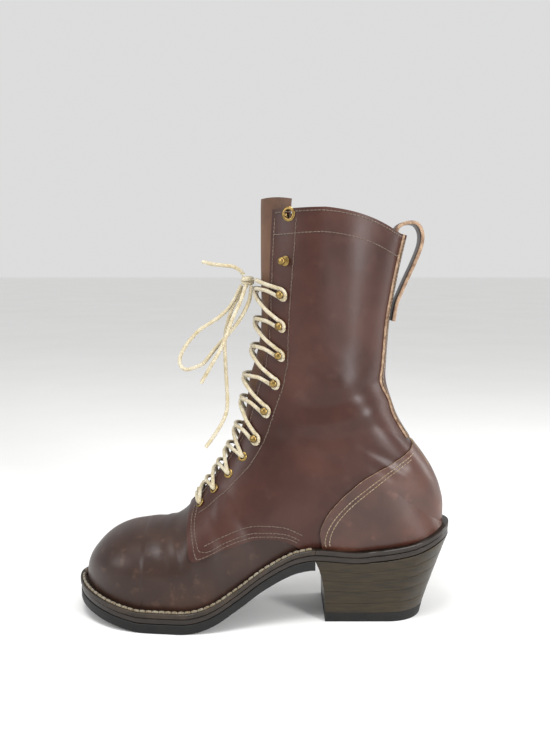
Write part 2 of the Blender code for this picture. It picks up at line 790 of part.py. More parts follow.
def make_upper():
    grid = upper_grid()
    outside = layer(grid, quarter_thickness, 0.0)
    upper = add_part("upper", shell("upper", outside, layer(grid, -wall)), brown_leather())
    last_bare = section_names.index("ankle front")
    bare = [(row, line) for row, line in grid if vamp_row <= row <= last_bare]
    above = layer(bare, 2 * quarter_thickness, None, relief_skirt)
    vamp_face = layer(bare, 0.0, relief_start, relief_skirt)
    relief = add_cutter("relief", shell("relief", above, vamp_face, True))
    wide = 0.2
    window = add_cutter("relief_outline", prism("relief_outline", vamp_outline(), -wide, wide))
    boolean(relief, window, "INTERSECT")
    boolean(upper, relief, "DIFFERENCE", "MANIFOLD")

    low = quarter_thickness + clearance
    under = layer(grid, low)
    counter_mesh = shell("counter", layer(grid, low + counter_thickness), under)
    cut_from_shell("counter", counter_mesh, counter_outline(), wide)

    counter_top = max(z for _, z in counter_outline())
    behind = on_upper(0.26)
    strip = [
        (behind, counter_top + clearance),
        (heel_back + 0.1, counter_top + clearance),
        (heel_back + 0.1, collar_height + 0.1),
        (behind, collar_height + 0.1),
    ]
    strip_mesh = shell("backstay", layer(grid, low + backstay_thickness), under)
    cut_from_shell("backstay", strip_mesh, strip, backstay_width / 2)
    return upper


def make_tongue():
    """A leather sheet inside the throat, from under the vamp to above the collar."""
    outside = -wall - tongue_play
    start = vamp_point - 1.0
    rows = tongue_rows
    columns = tongue_columns
    layers = []
    for distance in (outside, outside - tongue_thickness):
        layer = []
        for i in range(rows + 1):
            v = i / rows
            width = tongue_foot_width + (tongue_top_width - tongue_foot_width) * v ** 0.8
            line = []
            for k in range(-columns // 2, columns // 2 + 1):
                w = 2 * k / columns
                top = len(section_rows) - 1 - 0.35 * w ** 4
                row = start + (top - start) * v
                t = across_from_ridge(section(row), abs(w) * width / 2, math.copysign(1, w))
                point, facing = surface(row, math.copysign(max(t, 1e-9), w or 1))
                if k == 0:
                    facing = Vector((facing.x, 0, facing.z)).normalized()
                line.append(point + facing * distance)
            layer.append(line)
        layers.append(layer)
    rings = []
    for outer, inner in zip(*layers):
        rings.append(outer + inner[::-1])
    add_part("tongue", loft("tongue", rings), brown_leather())


def back_of_upper(z):
    """Where the back of the upper is at a height."""
    cuts = [section(row)["end"] for row in range(heel_row, len(section_rows))]
    return float(np.interp(z, [cut[1] for cut in cuts], [cut[0] for cut in cuts]))


def make_pull_loop():
    top = collar_height - collar_drop
    middle = []
    for _, up, out in loop_rows:
        z = top + up
        middle.append(Vector((back_of_upper(z) + out, z)))
    route = rounded_route(middle, 2)
    outline = []
    for side in (1, -1):
        line = []
        for k, point in enumerate(route):
            along = route[min(k + 1, len(route) - 1)] - route[max(k - 1, 0)]
            across = Vector((along.y, -along.x)).normalized()
            line.append(point + across * side * strap_thickness / 2)
        outline += line if side > 0 else line[::-1]
    half = strap_width / 2
    mesh = prism("pull_loop", [(p.x, p.y) for p in outline], -half, half)
    add_part("pull_loop", mesh, brown_leather())


def facing_place(distance, inset, side):
    """The row and place of a point this far up the throat's edge and back from it."""
    steps = 6
    rows = [throat + k / steps for k in range((collar_row - throat) * steps + 1)]
    line = []
    for row in rows:
        cut = section(row)
        line.append(on_section(cut, across_from_ridge(cut, cut["gap"], side), side))
    lengths = np.cumsum([0] + [(b - a).length for a, b in zip(line, line[1:])])
    row = float(np.interp(distance, lengths, rows))
    cut = section(row)
    t = across_from_ridge(cut, cut["gap"], side)
    reached = 0.0
    before = on_section(cut, t, side)
    while reached < inset and t < 0.95:
        t += 0.002
        point = on_section(cut, t, side)
        reached += (point - before).length
        before = point
    return row, side * t


def turned_mesh(name, profile, steps, closed):
    """A turned solid from a profile of radius and height."""
    mesh = bpy.data.meshes.new(name + "_profile")
    count = len(profile)
    links = [(k, (k + 1) % count) for k in range(count if closed else count - 1)]
    mesh.from_pydata([(r, 0, z) for r, z in profile], links, [])
    blank = bpy.data.objects.new(name + "_profile", mesh)
    cutters.objects.link(blank)
    screw = blank.modifiers.new("turn", "SCREW")
    screw.steps = steps
    screw.render_steps = steps
    screw.use_merge_vertices = True
    screw.merge_threshold = 0.00001
    turned = settled_mesh(blank)
    bpy.data.objects.remove(blank, do_unlink=True)
    work = bmesh.new()
    work.from_mesh(turned)
    bmesh.ops.recalc_face_normals(work, faces=work.faces)
    work.to_mesh(turned)
    work.free()
    turned.name = name
    return turned


def eyelet_mesh(name, hole, flange):
    depth = wall + quarter_thickness
    outer = hole + eyelet_barrel
    profile = (
        (hole, flange_thickness * 0.7),
        (outer + 0.0004, flange_thickness),
        (flange, clearance),
        (outer, clearance),
        (outer, -depth),
        (hole, -depth),
    )
    return turned_mesh(name, profile, ring_steps, True)


def hook_mesh():
    profile = (
        (0, hook_height),
        (hook_ball * 0.75, hook_height * 0.94),
        (hook_ball, hook_height * 0.76),
        (hook_neck, hook_height * 0.50),
        (hook_neck, hook_height * 0.20),
        (hook_base, hook_height * 0.14),
        (hook_base, 0),
        (0, 0),
    )
    return turned_mesh("hook", profile, hook_steps, False)


def seat(point, facing, lift):
    """The place of a turned piece that stands on the quarters."""
    turn = facing.to_track_quat("Z", "X").to_matrix().to_4x4()
    return Matrix.Translation(point + facing * lift) @ turn


def eyelet_place(k, side, inset=eyelet_inset, shift=0.0):
    return facing_place(first_eyelet + k * eyelet_pitch + shift, inset, side)


def hook_place(k, side, inset=hook_inset, shift=0.0):
    return facing_place(first_eyelet + first_hook + k * hook_pitch + shift, inset, side)


def top_eyelet_place(side):
    last_hook = first_eyelet + first_hook + (hook_count - 1) * hook_pitch
    return facing_place(last_hook + top_eyelet_step, hook_inset, side)


def add_ring(upper, name, place, mesh, hole):
    """An eyelet, and the hole that it needs in the quarter."""
    at = seat(*surface(*place), quarter_thickness)
    add_part(name, mesh, brass()).matrix_world = at
    bore = bpy.data.meshes.new("bore")
    radius = hole + eyelet_barrel + clearance
    work = bmesh.new()
    bmesh.ops.create_cone(
        work, cap_ends=True, segments=ring_steps, radius1=radius, radius2=radius, depth=0.02
    )
    work.to_mesh(bore)
    work.free()
    cutter = add_cutter("bore_" + name, bore)
    cutter.matrix_world = at
    boolean(upper, cutter, "DIFFERENCE", "MANIFOLD")


def make_hardware(upper):
    small = eyelet_mesh("eyelet", eyelet_hole, eyelet_flange)
    large = eyelet_mesh("eyelet_top", top_eyelet_hole, top_eyelet_flange)
    hook = hook_mesh()
    for side_name, side in (("lateral", -1), ("medial", 1)):
        for k in range(eyelet_count):
            name = f"eyelet_{k + 1}_{side_name}"
            add_ring(upper, name, eyelet_place(k, side), small, eyelet_hole)
        add_ring(upper, "eyelet_top_" + side_name, top_eyelet_place(side), large, top_eyelet_hole)
        for k in range(hook_count):
            at = seat(*surface(*hook_place(k, side)), quarter_thickness + clearance)
            add_part(f"hook_{k + 1}_{side_name}", hook, brass()).matrix_world = at


def cord_mesh(name, points, sides_level):
    """A round cord along points, closed at both ends."""
    data = bpy.data.curves.new(name, "CURVE")
    data.dimensions = "3D"
    data.bevel_depth = lace_radius
    data.bevel_resolution = sides_level
    data.use_fill_caps = True
    spline = data.splines.new("POLY")
    spline.points.add(len(points) - 1)
    for place, point in zip(spline.points, points):
        place.co = (*point, 1)
    blank = bpy.data.objects.new(name + "_curve", data)
    cutters.objects.link(blank)
    mesh = settled_mesh(blank)
    bpy.data.objects.remove(blank, do_unlink=True)
    work = bmesh.new()
    work.from_mesh(mesh)
    bmesh.ops.remove_doubles(work, verts=work.verts, dist=1e-6)
    bmesh.ops.recalc_face_normals(work, faces=work.faces)
    work.to_mesh(mesh)
    work.free()
    mesh.name = name
    return mesh


def lace_stretch(outer, inner, droop=0.0):
    """Points of one crossing over the tongue, from an outer place to an inner one."""
    over_tongue = lace_radius - wall + 0.0004
    over_quarter = quarter_thickness + lace_radius + 3 * clearance
    points = []
    steps = crossing_steps
    for k in range(steps + 1):
        u = k / steps
        row = outer[0] + (inner[0] - outer[0]) * u - droop * (1 - abs(2 * u - 1))
        t = (outer[1] if u < 0.5 else inner[1]) * abs(2 * u - 1)
        side = -1 if t < 0 else 1
        point, facing = surface(row, t or 1e-9)
        if not t:
            facing = Vector((facing.x, 0, facing.z)).normalized()
        edge = across_from_ridge(section(row), section(row)["gap"], side)
        rise = min(abs(t) / (edge * 0.60), 1)
        points.append(point + facing * (over_tongue + (over_quarter - over_tongue) * rise))
    return points


def make_lacing():
    """The bar over the lowest eyelets, then a crossing from each pair to the next."""
    past_eyelet = eyelet_inset - eyelet_flange - lace_radius - 0.0006
    past_hook = hook_inset - hook_base - lace_radius - 0.0006
    apart = lace_radius + clearance
    lower = []
    upper = []
    for shift, levels in ((-apart, lower), (apart, upper)):
        for k in range(eyelet_count):
            levels.append([eyelet_place(k, side, past_eyelet, shift) for side in (-1, 1)])
        for k in range(laced_hooks):
            levels.append([hook_place(k, side, past_hook, shift) for side in (-1, 1)])
    add_part("lace_bar", cord_mesh("lace_bar", lace_stretch(*lower[0]), 1), cord())
    for k in range(len(lower) - 1):
        start = upper[k]
        finish = lower[k + 1]
        name = f"lace_cross_{k + 1}"
        crossing = add_part(name, cord_mesh(name, lace_stretch(start[0], finish[1]), 1), cord())
        back = cord_mesh(name + "_back", lace_stretch(finish[0], start[1]), 1)
        boolean(crossing, add_cutter(name + "_back", back), "UNION")
    tie = lace_stretch(*upper[-1], tie_droop)
    add_part("lace_tie", cord_mesh("lace_tie", tie, 1), cord())
    return tie[len(tie) // 2]


def make_bow(tie_middle):
    """The knot on the middle of the tie, and the free lace that hangs from it."""
    knot = tie_middle - Vector((knot_size[0] + lace_radius + clearance, 0, 0))
    work = bmesh.new()
    bmesh.ops.create_uvsphere(work, u_segments=8, v_segments=5, radius=1)
    mesh = bpy.data.meshes.new("lace_knot")
    bmesh.ops.transform(work, matrix=Matrix.Diagonal((*knot_size, 1)), verts=work.verts)
    work.to_mesh(mesh)
    work.free()
    add_part("lace_knot", mesh, cord()).location = knot
    routes = (
        ("lace_loop", loop_route),
        ("lace_end_a", end_a_route),
        ("lace_end_b", end_b_route),
        ("lace_strand", strand_route),
    )
    for name, rows in routes:
        points = [Vector((knot.x - ahead, knot.y + out, knot.z + up)) for ahead, out, up in rows]
        add_part(name, cord_mesh(name, rounded_route(points, 2), 2), cord())


clear_scene()
make_sole()
make_heel()
boot_upper = make_upper()
make_tongue()
make_pull_loop()
make_hardware(boot_upper)
make_bow(make_lacing())
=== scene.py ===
import math
from functools import lru_cache

import bmesh
import bpy
import numpy as np
from mathutils import Matrix, Vector
from mathutils.bvhtree import BVHTree
from mathutils.kdtree import KDTree


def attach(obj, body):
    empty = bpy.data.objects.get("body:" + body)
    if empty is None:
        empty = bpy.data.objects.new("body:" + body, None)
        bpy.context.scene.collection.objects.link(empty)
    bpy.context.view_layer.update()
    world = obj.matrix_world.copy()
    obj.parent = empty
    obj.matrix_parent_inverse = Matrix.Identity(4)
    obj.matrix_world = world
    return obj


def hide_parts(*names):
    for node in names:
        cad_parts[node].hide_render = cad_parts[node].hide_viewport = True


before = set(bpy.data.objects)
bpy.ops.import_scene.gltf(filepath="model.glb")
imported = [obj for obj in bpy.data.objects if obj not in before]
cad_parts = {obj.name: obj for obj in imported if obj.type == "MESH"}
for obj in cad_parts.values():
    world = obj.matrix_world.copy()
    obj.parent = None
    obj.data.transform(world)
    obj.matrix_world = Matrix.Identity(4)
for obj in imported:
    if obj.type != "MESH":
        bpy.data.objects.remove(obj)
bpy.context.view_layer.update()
print("frame loaded")

# Sole and heel
soleLength = 0.3155
ballWidth = 0.1100
seatWidth = 0.0720
sideSwing = 0.0070
toeRound = 0.0580
heelBaseLength = 0.0830
heelBaseWidth = 0.0610
heelOverhang = 0.0230
breastFlare = 0.0085
heelHeight = 0.0460
seatRise = 0.0180
toeSpring = 0.0120
outsoleThickness = 0.0078
midsoleThickness = 0.0050
weltThickness = 0.0042
ringWidth = 0.0150
insoleThickness = 0.0030
insolePlay = 0.0014

# Upper
weltMargin = 0.0068
seatMargin = 0.0085
instepHeight = 0.1960
collarHeight = 0.3370
collarDrop = 0.0190
collarArch = 0.0100
archEnd = 0.88
widestLean = 14  # degrees
ankleWidth = 0.0720
collarWidth = 0.0840
wall = 0.0022
throatGap = 0.0190
clearance = 0.0003

# Overlays
quarterThickness = 0.0015
counterThickness = 0.0018
backstayThickness = 0.0016
backstayWidth = 0.0270
counterHeight = 0.0740
tongueThickness = 0.0025
tonguePlay = 0.0011
tongueFootWidth = 0.0260
tongueTopWidth = 0.0640
strapThickness = 0.0030
strapWidth = 0.0200

# Lacing
firstEyelet = 0.0040
eyeletPitch = 0.0178
firstHook = 0.0727
hookShare = 0.16738
topEyeletShare = 0.22695
eyeletInset = 0.0125
hookInset = 0.0155
eyeletCount = 4
hookCount = 7
lacedHooks = 6
eyeletHole = 0.0021
eyeletFlange = 0.0042
topEyeletHole = 0.0034
topEyeletFlange = 0.0058
eyeletBarrel = 0.0005
flangeThickness = 0.0009
hookBase = 0.0040
hookNeck = 0.0016
hookBall = 0.0032
hookHeight = 0.0072
laceRadius = 0.0016
laceSides = 12
tongueLift = 0.0004
climbShare = 0.60


heelBack = heelBaseLength / 2 + heelOverhang
toeTip = heelBack - soleLength
breast = -heelBaseLength / 2 - breastFlare
upperToe = toeTip + weltMargin
upperBack = heelBack - seatMargin
stack = outsoleThickness + midsoleThickness + weltThickness
hookPitch = hookShare * (collarHeight - instepHeight)
topEyeletStep = topEyeletShare * (collarHeight - instepHeight)


# The underside of the sole: share of the sole length from the heel, then shares of
# the heel height, of the toe spring and of the rise of the seat.
undersideRows = (
    ("heel back", 0.000, 0.960, 0.00, 1.00),
    ("seat rim", 0.021, 0.960, 0.00, 0.90),
    ("seat", 0.068, 0.960, 0.00, 0.58),
    ("seat front", 0.125, 0.960, 0.00, 0.25),
    ("under the ankle", 0.195, 0.960, 0.00, 0.05),
    ("seat bottom", 0.250, 0.945, 0.00, 0.00),
    ("breast", 0.365, 1.000, 0.00, 0.00),
    ("shank", 0.410, 0.960, 0.00, 0.00),
    ("shank front", 0.445, 0.870, 0.00, 0.00),
    ("arch", 0.480, 0.750, 0.00, 0.00),
    ("waist", 0.515, 0.609, 0.00, 0.00),
    ("waist front", 0.547, 0.452, 0.00, 0.00),
    ("ball rise", 0.582, 0.296, 0.00, 0.00),
    ("ball curve", 0.615, 0.161, 0.00, 0.00),
    ("ball foot", 0.648, 0.065, 0.00, 0.00),
    ("ball", 0.680, 0.013, 0.00, 0.00),
    ("tread start", 0.705, 0.000, 0.00, 0.00),
    ("tread end", 0.810, 0.000, 0.00, 0.00),
    ("toe rise", 0.853, 0.000, 0.16, 0.00),
    ("toe curve", 0.895, 0.000, 0.38, 0.00),
    ("toe lift", 0.935, 0.000, 0.60, 0.00),
    ("toe front", 0.975, 0.000, 0.84, 0.00),
    ("toe", 1.000, 0.000, 1.00, 0.00),
)

# Where an inset goes over from the one at the back to the one at the front.
insetChange = ((0.0, 0.25, 0.55, 1.0), (0.0, 0.0, 1.0, 1.0))

# The outline of the sole from above: share of the sole length from the heel, half
# width as shares of half the ball and half the seat, and the middle line's swing.
outlineRows = (
    ("heel back", 0.000, 0.000, 1.000, 0.00),
    ("seat", 0.182, 0.000, 0.986, 0.00),
    ("seat front", 0.277, 0.000, 1.000, -0.07),
    ("breast", 0.357, 0.050, 0.890, -0.29),
    ("shank", 0.436, 0.300, 0.530, -0.64),
    ("waist", 0.515, 0.620, 0.130, -0.97),
    ("ball rise", 0.594, 0.827, 0.000, -0.93),
    ("ball back", 0.664, 0.942, 0.000, -0.60),
    ("ball", 0.721, 1.000, 0.000, -0.20),
    ("ball front", 0.778, 1.000, 0.000, 0.07),
    ("toe back", 0.842, 0.980, 0.000, 0.36),
    ("toe", 0.895, 0.970, 0.000, 0.57),
    ("toe front", 0.959, 0.945, 0.000, 0.86),
    ("toe tip", 1.000, 0.930, 0.000, 1.00),
)

# The upper, a row for each section. A section is cut by a plane from its top on the
# ridge to its end, which is on the welt up to the row "heel" and on the back after it.
# top and end: shares of the upper's length from the back. level: 0 on the sole, 1 at
# the instep height, 2 at the collar height. rise: height of the end up the back.
# foot, ankle, collar: shares of half those widths. swing: side shift of the ridge.
# widest: where the section is widest, from top to end. bow: 2 is an ellipse.
# gap: share of the throat gap.
sectionRows = (
    # name, top, level, end, rise, foot, ankle, collar, swing, widest, bow, gap
    ("toe tip", 1.0000, 0.000, 1.0000, 0.000, 1.04, 0.000, 0.000, 1.00, 0.60, 2.30, 0.00),
    ("toe face", 0.9973, 0.070, 0.9973, 0.000, 1.04, 0.000, 0.000, 1.00, 0.60, 2.30, 0.00),
    ("toe brow", 0.9893, 0.119, 0.9893, 0.000, 1.04, 0.000, 0.000, 0.99, 0.60, 2.30, 0.00),
    ("toe crown", 0.9693, 0.177, 0.9693, 0.000, 1.04, 0.000, 0.000, 0.97, 0.61, 2.30, 0.00),
    ("toe top", 0.9427, 0.231, 0.9427, 0.000, 1.04, 0.000, 0.000, 0.94, 0.62, 2.30, 0.00),
    ("toe box", 0.9127, 0.272, 0.9127, 0.000, 1.04, 0.000, 0.000, 0.90, 0.62, 2.28, 0.00),
    ("toe back", 0.8728, 0.308, 0.8728, 0.000, 1.04, 0.000, 0.000, 0.83, 0.62, 2.22, 0.00),
    ("vamp", 0.8211, 0.333, 0.8211, 0.000, 1.04, 0.000, 0.000, 0.72, 0.62, 2.15, 0.00),
    ("ball", 0.7695, 0.346, 0.7695, 0.000, 1.04, 0.000, 0.000, 0.60, 0.62, 2.08, 0.00),
    ("vamp rise", 0.7295, 0.371, 0.7295, 0.000, 1.04, 0.000, 0.000, 0.50, 0.62, 2.00, 0.00),
    ("vamp point", 0.6979, 0.421, 0.6929, 0.000, 1.02, 0.040, 0.000, 0.45, 0.62, 1.93, 0.00),
    ("throat", 0.6779, 0.454, 0.6462, 0.000, 0.93, 0.130, 0.000, 0.40, 0.63, 1.88, 0.45),
    ("instep low", 0.6462, 0.521, 0.5796, 0.000, 0.70, 0.360, 0.000, 0.32, 0.66, 1.83, 0.50),
    ("instep", 0.6079, 0.618, 0.4863, 0.000, 0.45, 0.600, 0.000, 0.22, 0.69, 1.80, 0.55),
    ("instep high", 0.5779, 0.716, 0.3698, 0.000, 0.22, 0.780, 0.000, 0.12, 0.66, 1.80, 0.60),
    ("ankle front", 0.5596, 0.820, 0.2532, 0.000, 0.08, 0.870, 0.000, 0.05, 0.62, 1.84, 0.66),
    ("heel front", 0.5513, 0.905, 0.1532, 0.000, 0.00, 0.930, 0.000, 0.00, 0.59, 1.88, 0.70),
    ("heel side", 0.5486, 0.955, 0.0916, 0.000, 0.00, 0.930, 0.000, 0.00, 0.57, 1.90, 0.72),
    ("heel turn", 0.5463, 0.995, 0.0466, 0.000, 0.00, 0.930, 0.000, 0.00, 0.56, 1.92, 0.74),
    ("heel round", 0.5440, 1.028, 0.0167, 0.000, 0.00, 0.930, 0.000, 0.00, 0.55, 1.94, 0.76),
    ("heel", 0.5413, 1.060, 0.0000, 0.000, 0.00, 0.930, 0.000, 0.00, 0.54, 1.95, 0.78),
    ("heel swell", 0.5330, 1.113, 0.0003, 0.064, 0.00, 0.930, 0.000, 0.00, 0.53, 1.97, 0.81),
    ("heel top", 0.5263, 1.163, 0.0100, 0.124, 0.00, 0.935, 0.000, 0.00, 0.52, 1.98, 0.84),
    ("heel neck", 0.5203, 1.213, 0.0300, 0.184, 0.00, 0.945, 0.000, 0.00, 0.51, 2.00, 0.87),
    ("tendon low", 0.5157, 1.270, 0.0580, 0.239, 0.00, 0.960, 0.000, 0.00, 0.50, 1.92, 0.90),
    ("tendon", 0.5123, 1.340, 0.0966, 0.303, 0.00, 0.980, 0.000, 0.00, 0.49, 1.86, 0.93),
    ("ankle", 0.5113, 1.440, 0.1412, 0.402, 0.00, 1.000, 0.000, 0.00, 0.48, 1.78, 0.98),
    ("ankle top", 0.5120, 1.580, 0.1669, 0.530, 0.00, 0.900, 0.120, 0.00, 0.47, 1.70, 1.06),
    ("shaft", 0.5130, 1.723, 0.1612, 0.679, 0.00, 0.600, 0.420, 0.00, 0.46, 1.64, 1.12),
    ("shaft top", 0.5130, 1.865, 0.1399, 0.855, 0.00, 0.250, 0.760, 0.00, 0.45, 1.62, 1.18),
    ("collar", 0.5130, 2.000, 0.1149, 1.000, 0.00, 0.000, 1.000, 0.00, 0.45, 1.62, 1.22),
    ("above collar", 0.5121, 2.070, 0.1049, 1.050, 0.00, 0.000, 1.020, 0.00, 0.45, 1.62, 1.24),
)
sectionNames = [row[0] for row in sectionRows]
vampRow = sectionNames.index("vamp")
vampPoint = sectionNames.index("vamp point")
throat = sectionNames.index("throat")
ankleRow = sectionNames.index("ankle")
heelRow = sectionNames.index("heel")
collarRow = sectionNames.index("collar")

# Outline of the quarters on the vamp, from the side: share of the upper's length
# from the back, and share of the instep height.
quarterEdge = (
    ("throat", 0.694, 0.560),
    ("front", 0.7045, 0.455),
    ("front low", 0.701, 0.395),
    ("corner", 0.6920, 0.312),
    ("corner back", 0.6700, 0.300),
    ("low edge", 0.6030, 0.338),
    ("arch", 0.5250, 0.369),
    ("top of arch", 0.4800, 0.371),
    ("arch back", 0.4350, 0.357),
    ("welt", 0.3950, 0.318),
    ("under", 0.3750, 0.250),
)

# Edge of the counter, from the side: share of the upper's length from the back, and
# share of the counter's height above the lowest point of the seat.
counterEdge = (
    ("under", 0.331, -0.250),
    ("welt", 0.336, 0.060),
    ("front", 0.341, 0.170),
    ("front high", 0.333, 0.300),
    ("front turn", 0.314, 0.435),
    ("rise", 0.286, 0.565),
    ("slope", 0.251, 0.700),
    ("slope high", 0.216, 0.812),
    ("shoulder", 0.145, 0.968),
    ("shoulder back", 0.100, 1.075),
    ("back", 0.065, 1.170),
    ("back top", 0.035, 1.200),
)

# The pull loop: height over the back of the collar, and distance out from the back.
loopRows = (
    ("tail", -0.0700, 0.0054),
    ("stitched end", -0.0560, 0.0056),
    ("lift", -0.0450, 0.0082),
    ("bow low", -0.0340, 0.0112),
    ("bow", -0.0210, 0.0142),
    ("bow high", -0.0080, 0.0160),
    ("top back", 0.0020, 0.0140),
    ("top", 0.0088, 0.0080),
    ("over the rim", 0.0095, 0.0000),
    ("inside top", 0.0050, -0.0066),
    ("inside", -0.0090, -0.0066),
    ("inside low", -0.0220, -0.0066),
    ("inside tail", -0.0340, -0.0066),
)

# Heel seams as shares of the height of the seat, from the floor up.
liftSeams = (0.0, 0.150, 0.315, 0.515, 0.685, 0.845, 1.0)

# The free lace. Each point: distance ahead of the knot, out to the side and up.
knotReach = 0.0062
tieDroop = 0.25
loopRoute = (
    (-0.0030, -0.0022, -0.0044),
    (-0.0015, -0.0070, -0.0160),
    (0.0040, -0.0110, -0.0280),
    (0.0110, -0.0140, -0.0380),
    (0.0190, -0.0170, -0.0470),
    (0.0270, -0.0190, -0.0560),
    (0.0350, -0.0200, -0.0660),
    (0.0430, -0.0200, -0.0700),
    (0.0500, -0.0190, -0.0715),
    (0.0545, -0.0170, -0.0680),
    (0.0545, -0.0150, -0.0610),
    (0.0490, -0.0130, -0.0510),
    (0.0390, -0.0110, -0.0400),
    (0.0250, -0.0085, -0.0310),
    (0.0150, -0.0060, -0.0220),
    (0.0090, -0.0030, -0.0120),
    (0.0050, -0.0008, -0.0040),
)
endARoute = (
    (0.0030, 0.0000, 0.0048),
    (0.0065, -0.0010, 0.0085),
    (0.0120, -0.0020, 0.0115),
    (0.0200, -0.0030, 0.0125),
    (0.0290, -0.0040, 0.0135),
    (0.0370, -0.0050, 0.0155),
)
endBRoute = (
    (0.0010, -0.0050, -0.0035),
    (0.0060, -0.0120, -0.0180),
    (0.0120, -0.0170, -0.0310),
    (0.0165, -0.0215, -0.0440),
    (0.0220, -0.0240, -0.0560),
    (0.0290, -0.0250, -0.0680),
    (0.0370, -0.0250, -0.0820),
)
strandRoute = (
    (0.0010, 0.0032, -0.0044),
    (0.0110, 0.0025, -0.0190),
    (0.0165, 0.0010, -0.0340),
    (0.0190, -0.0020, -0.0490),
    (0.0185, -0.0060, -0.0640),
    (0.0175, -0.0110, -0.0790),
    (0.0165, -0.0150, -0.0940),
    (0.0170, -0.0180, -0.1060),
    (0.0210, -0.0200, -0.1160),
    (0.0280, -0.0220, -0.1270),
    (0.0340, -0.0240, -0.1350),
)


def smooth(places, values, at):
    # A curve through a table's values that never passes beyond two neighbours.
    places = np.asarray(places, float)
    values = np.asarray(values, float)
    at = float(min(max(at, places[0]), places[-1]))
    gaps = np.diff(places)
    slopes = np.diff(values) / gaps
    bends = np.zeros(len(places))
    bends[0] = slopes[0]
    bends[-1] = slopes[-1]
    for i in range(1, len(places) - 1):
        if slopes[i - 1] * slopes[i] > 0:
            before = 2 * gaps[i] + gaps[i - 1]
            after = gaps[i] + 2 * gaps[i - 1]
            bends[i] = (before + after) / (before / slopes[i - 1] + after / slopes[i])
    i = min(int(np.searchsorted(places, at, side="right")) - 1, len(gaps) - 1)
    u = (at - places[i]) / gaps[i]
    start = (1 + 2 * u) * (1 - u) ** 2 * values[i] + u * (1 - u) ** 2 * gaps[i] * bends[i]
    finish = u * u * (3 - 2 * u) * values[i + 1] + u * u * (u - 1) * gaps[i] * bends[i + 1]
    return start + finish


def roundedRoute(points, perSpan):
    # A smooth curve through a few chosen points.
    route = []
    ends = [2 * points[0] - points[1]] + list(points) + [2 * points[-1] - points[-2]]
    for a, b, c, d in zip(ends, ends[1:], ends[2:], ends[3:]):
        for step in range(perSpan):
            u = step / perSpan
            pull = (2 * a - 5 * b + 4 * c - d) * u * u + (3 * b - a - 3 * c + d) * u ** 3
            route.append(b + 0.5 * ((c - a) * u + pull))
    route.append(points[-1])
    return route


def tableValue(rows, column, at):
    return smooth([row[1] for row in rows], [row[column] for row in rows], at)


def underside(x):
    # Height of the underside of the sole.
    share = (heelBack - x) / soleLength
    heel = tableValue(undersideRows, 2, share) * heelHeight
    toe = tableValue(undersideRows, 3, share) * toeSpring
    return heel + toe + tableValue(undersideRows, 4, share) * seatRise


def roundEnd(distance, radius):
    share = min(max(distance / radius, 0), 1)
    return math.sqrt(1 - (1 - share) ** 2)


def edges(x, frontInset, backInset):
    # The outer and inner sides of the sole at x, drawn in by an inset.
    share = (heelBack - x) / soleLength
    middle = tableValue(outlineRows, 4, share) * sideSwing
    half = tableValue(outlineRows, 2, share) * ballWidth / 2
    half += tableValue(outlineRows, 3, share) * seatWidth / 2
    change = smooth(insetChange[0], insetChange[1], share)
    half -= backInset + (frontInset - backInset) * change
    half *= roundEnd(x - toeTip - frontInset, toeRound - frontInset)
    half *= roundEnd(heelBack - backInset - x, seatWidth / 2 - backInset)
    return middle - half, middle + half


def sectionValue(column, row):
    return smooth(range(len(sectionRows)), [r[column] for r in sectionRows], row)


def onUpper(share):
    return upperBack - share * (upperBack - upperToe)


@lru_cache(None)
def section(row):
    # The sizes of one section of the upper.
    topX = onUpper(sectionValue(1, row))
    endX = onUpper(sectionValue(3, row))
    soleZ = underside(topX) + stack + clearance
    level = sectionValue(2, row)
    topZ = soleZ + (instepHeight - soleZ) * min(level, 1)
    topZ += (collarHeight - instepHeight) * max(level - 1, 0)
    endZ = underside(endX) + stack + clearance
    if row > heelRow:
        seatZ = underside(upperBack) + stack + clearance
        endZ = seatZ + (collarHeight - collarDrop - seatZ) * sectionValue(4, row)
    outer, inner = edges(endX, weltMargin, seatMargin)
    if row >= heelRow:
        outer = inner = 0.0
    foot = sectionValue(5, row)
    middle = (outer + inner) / 2 * min(foot, 1)
    half = foot * (inner - outer) / 2 + sectionValue(6, row) * ankleWidth / 2
    half += sectionValue(7, row) * collarWidth / 2
    tuck = math.cos(math.radians(widestLean))
    half = max(half, (middle - outer) / tuck, (inner - middle) / tuck)
    return {
        "top": (topX, sectionValue(8, row) * sideSwing, topZ),
        "end": (endX, endZ),
        "welt": (outer, inner),
        "middle": middle,
        "half": half,
        "widest": sectionValue(9, row),
        "bow": sectionValue(10, row),
        "gap": sectionValue(11, row) * throatGap,
        "arch": collarArch * max((row - ankleRow) / (collarRow - ankleRow), 0) ** 1.5,
    }


def onSection(cut, t, side):
    # A point of a section: t is 0 on the ridge, 0.5 at the widest and 1 at the end.
    topX, topY, topZ = cut["top"]
    endX, endZ = cut["end"]
    widestY = cut["middle"] + side * cut["half"]
    if t <= 0.5:
        turn = t * math.pi
        power = 2 / cut["bow"]
        across = topY + (widestY - topY) * math.sin(turn) ** power
        along = cut["widest"] * (1 - max(math.cos(turn), 0) ** power)
    else:
        weltY = cut["welt"][0 if side < 0 else 1]
        reached = weltY - cut["middle"]
        ratio = reached / (widestY - cut["middle"]) if cut["half"] else 1.0
        last = math.acos(min(max(ratio, 0), 1))
        turn = (2 * t - 1) * last
        across = cut["middle"] + (widestY - cut["middle"]) * math.cos(turn)
        reach = math.sin(turn) / math.sin(last) if last > 1e-6 else 2 * t - 1
        along = cut["widest"] + (1 - cut["widest"]) * reach
    lifted = cut["arch"] * max(math.sin(math.pi * min(t / archEnd, 1) ** 1.5), 0) ** 1.5
    height = topZ + (endZ - topZ) * along + lifted
    return Vector((topX + (endX - topX) * along, across, height))


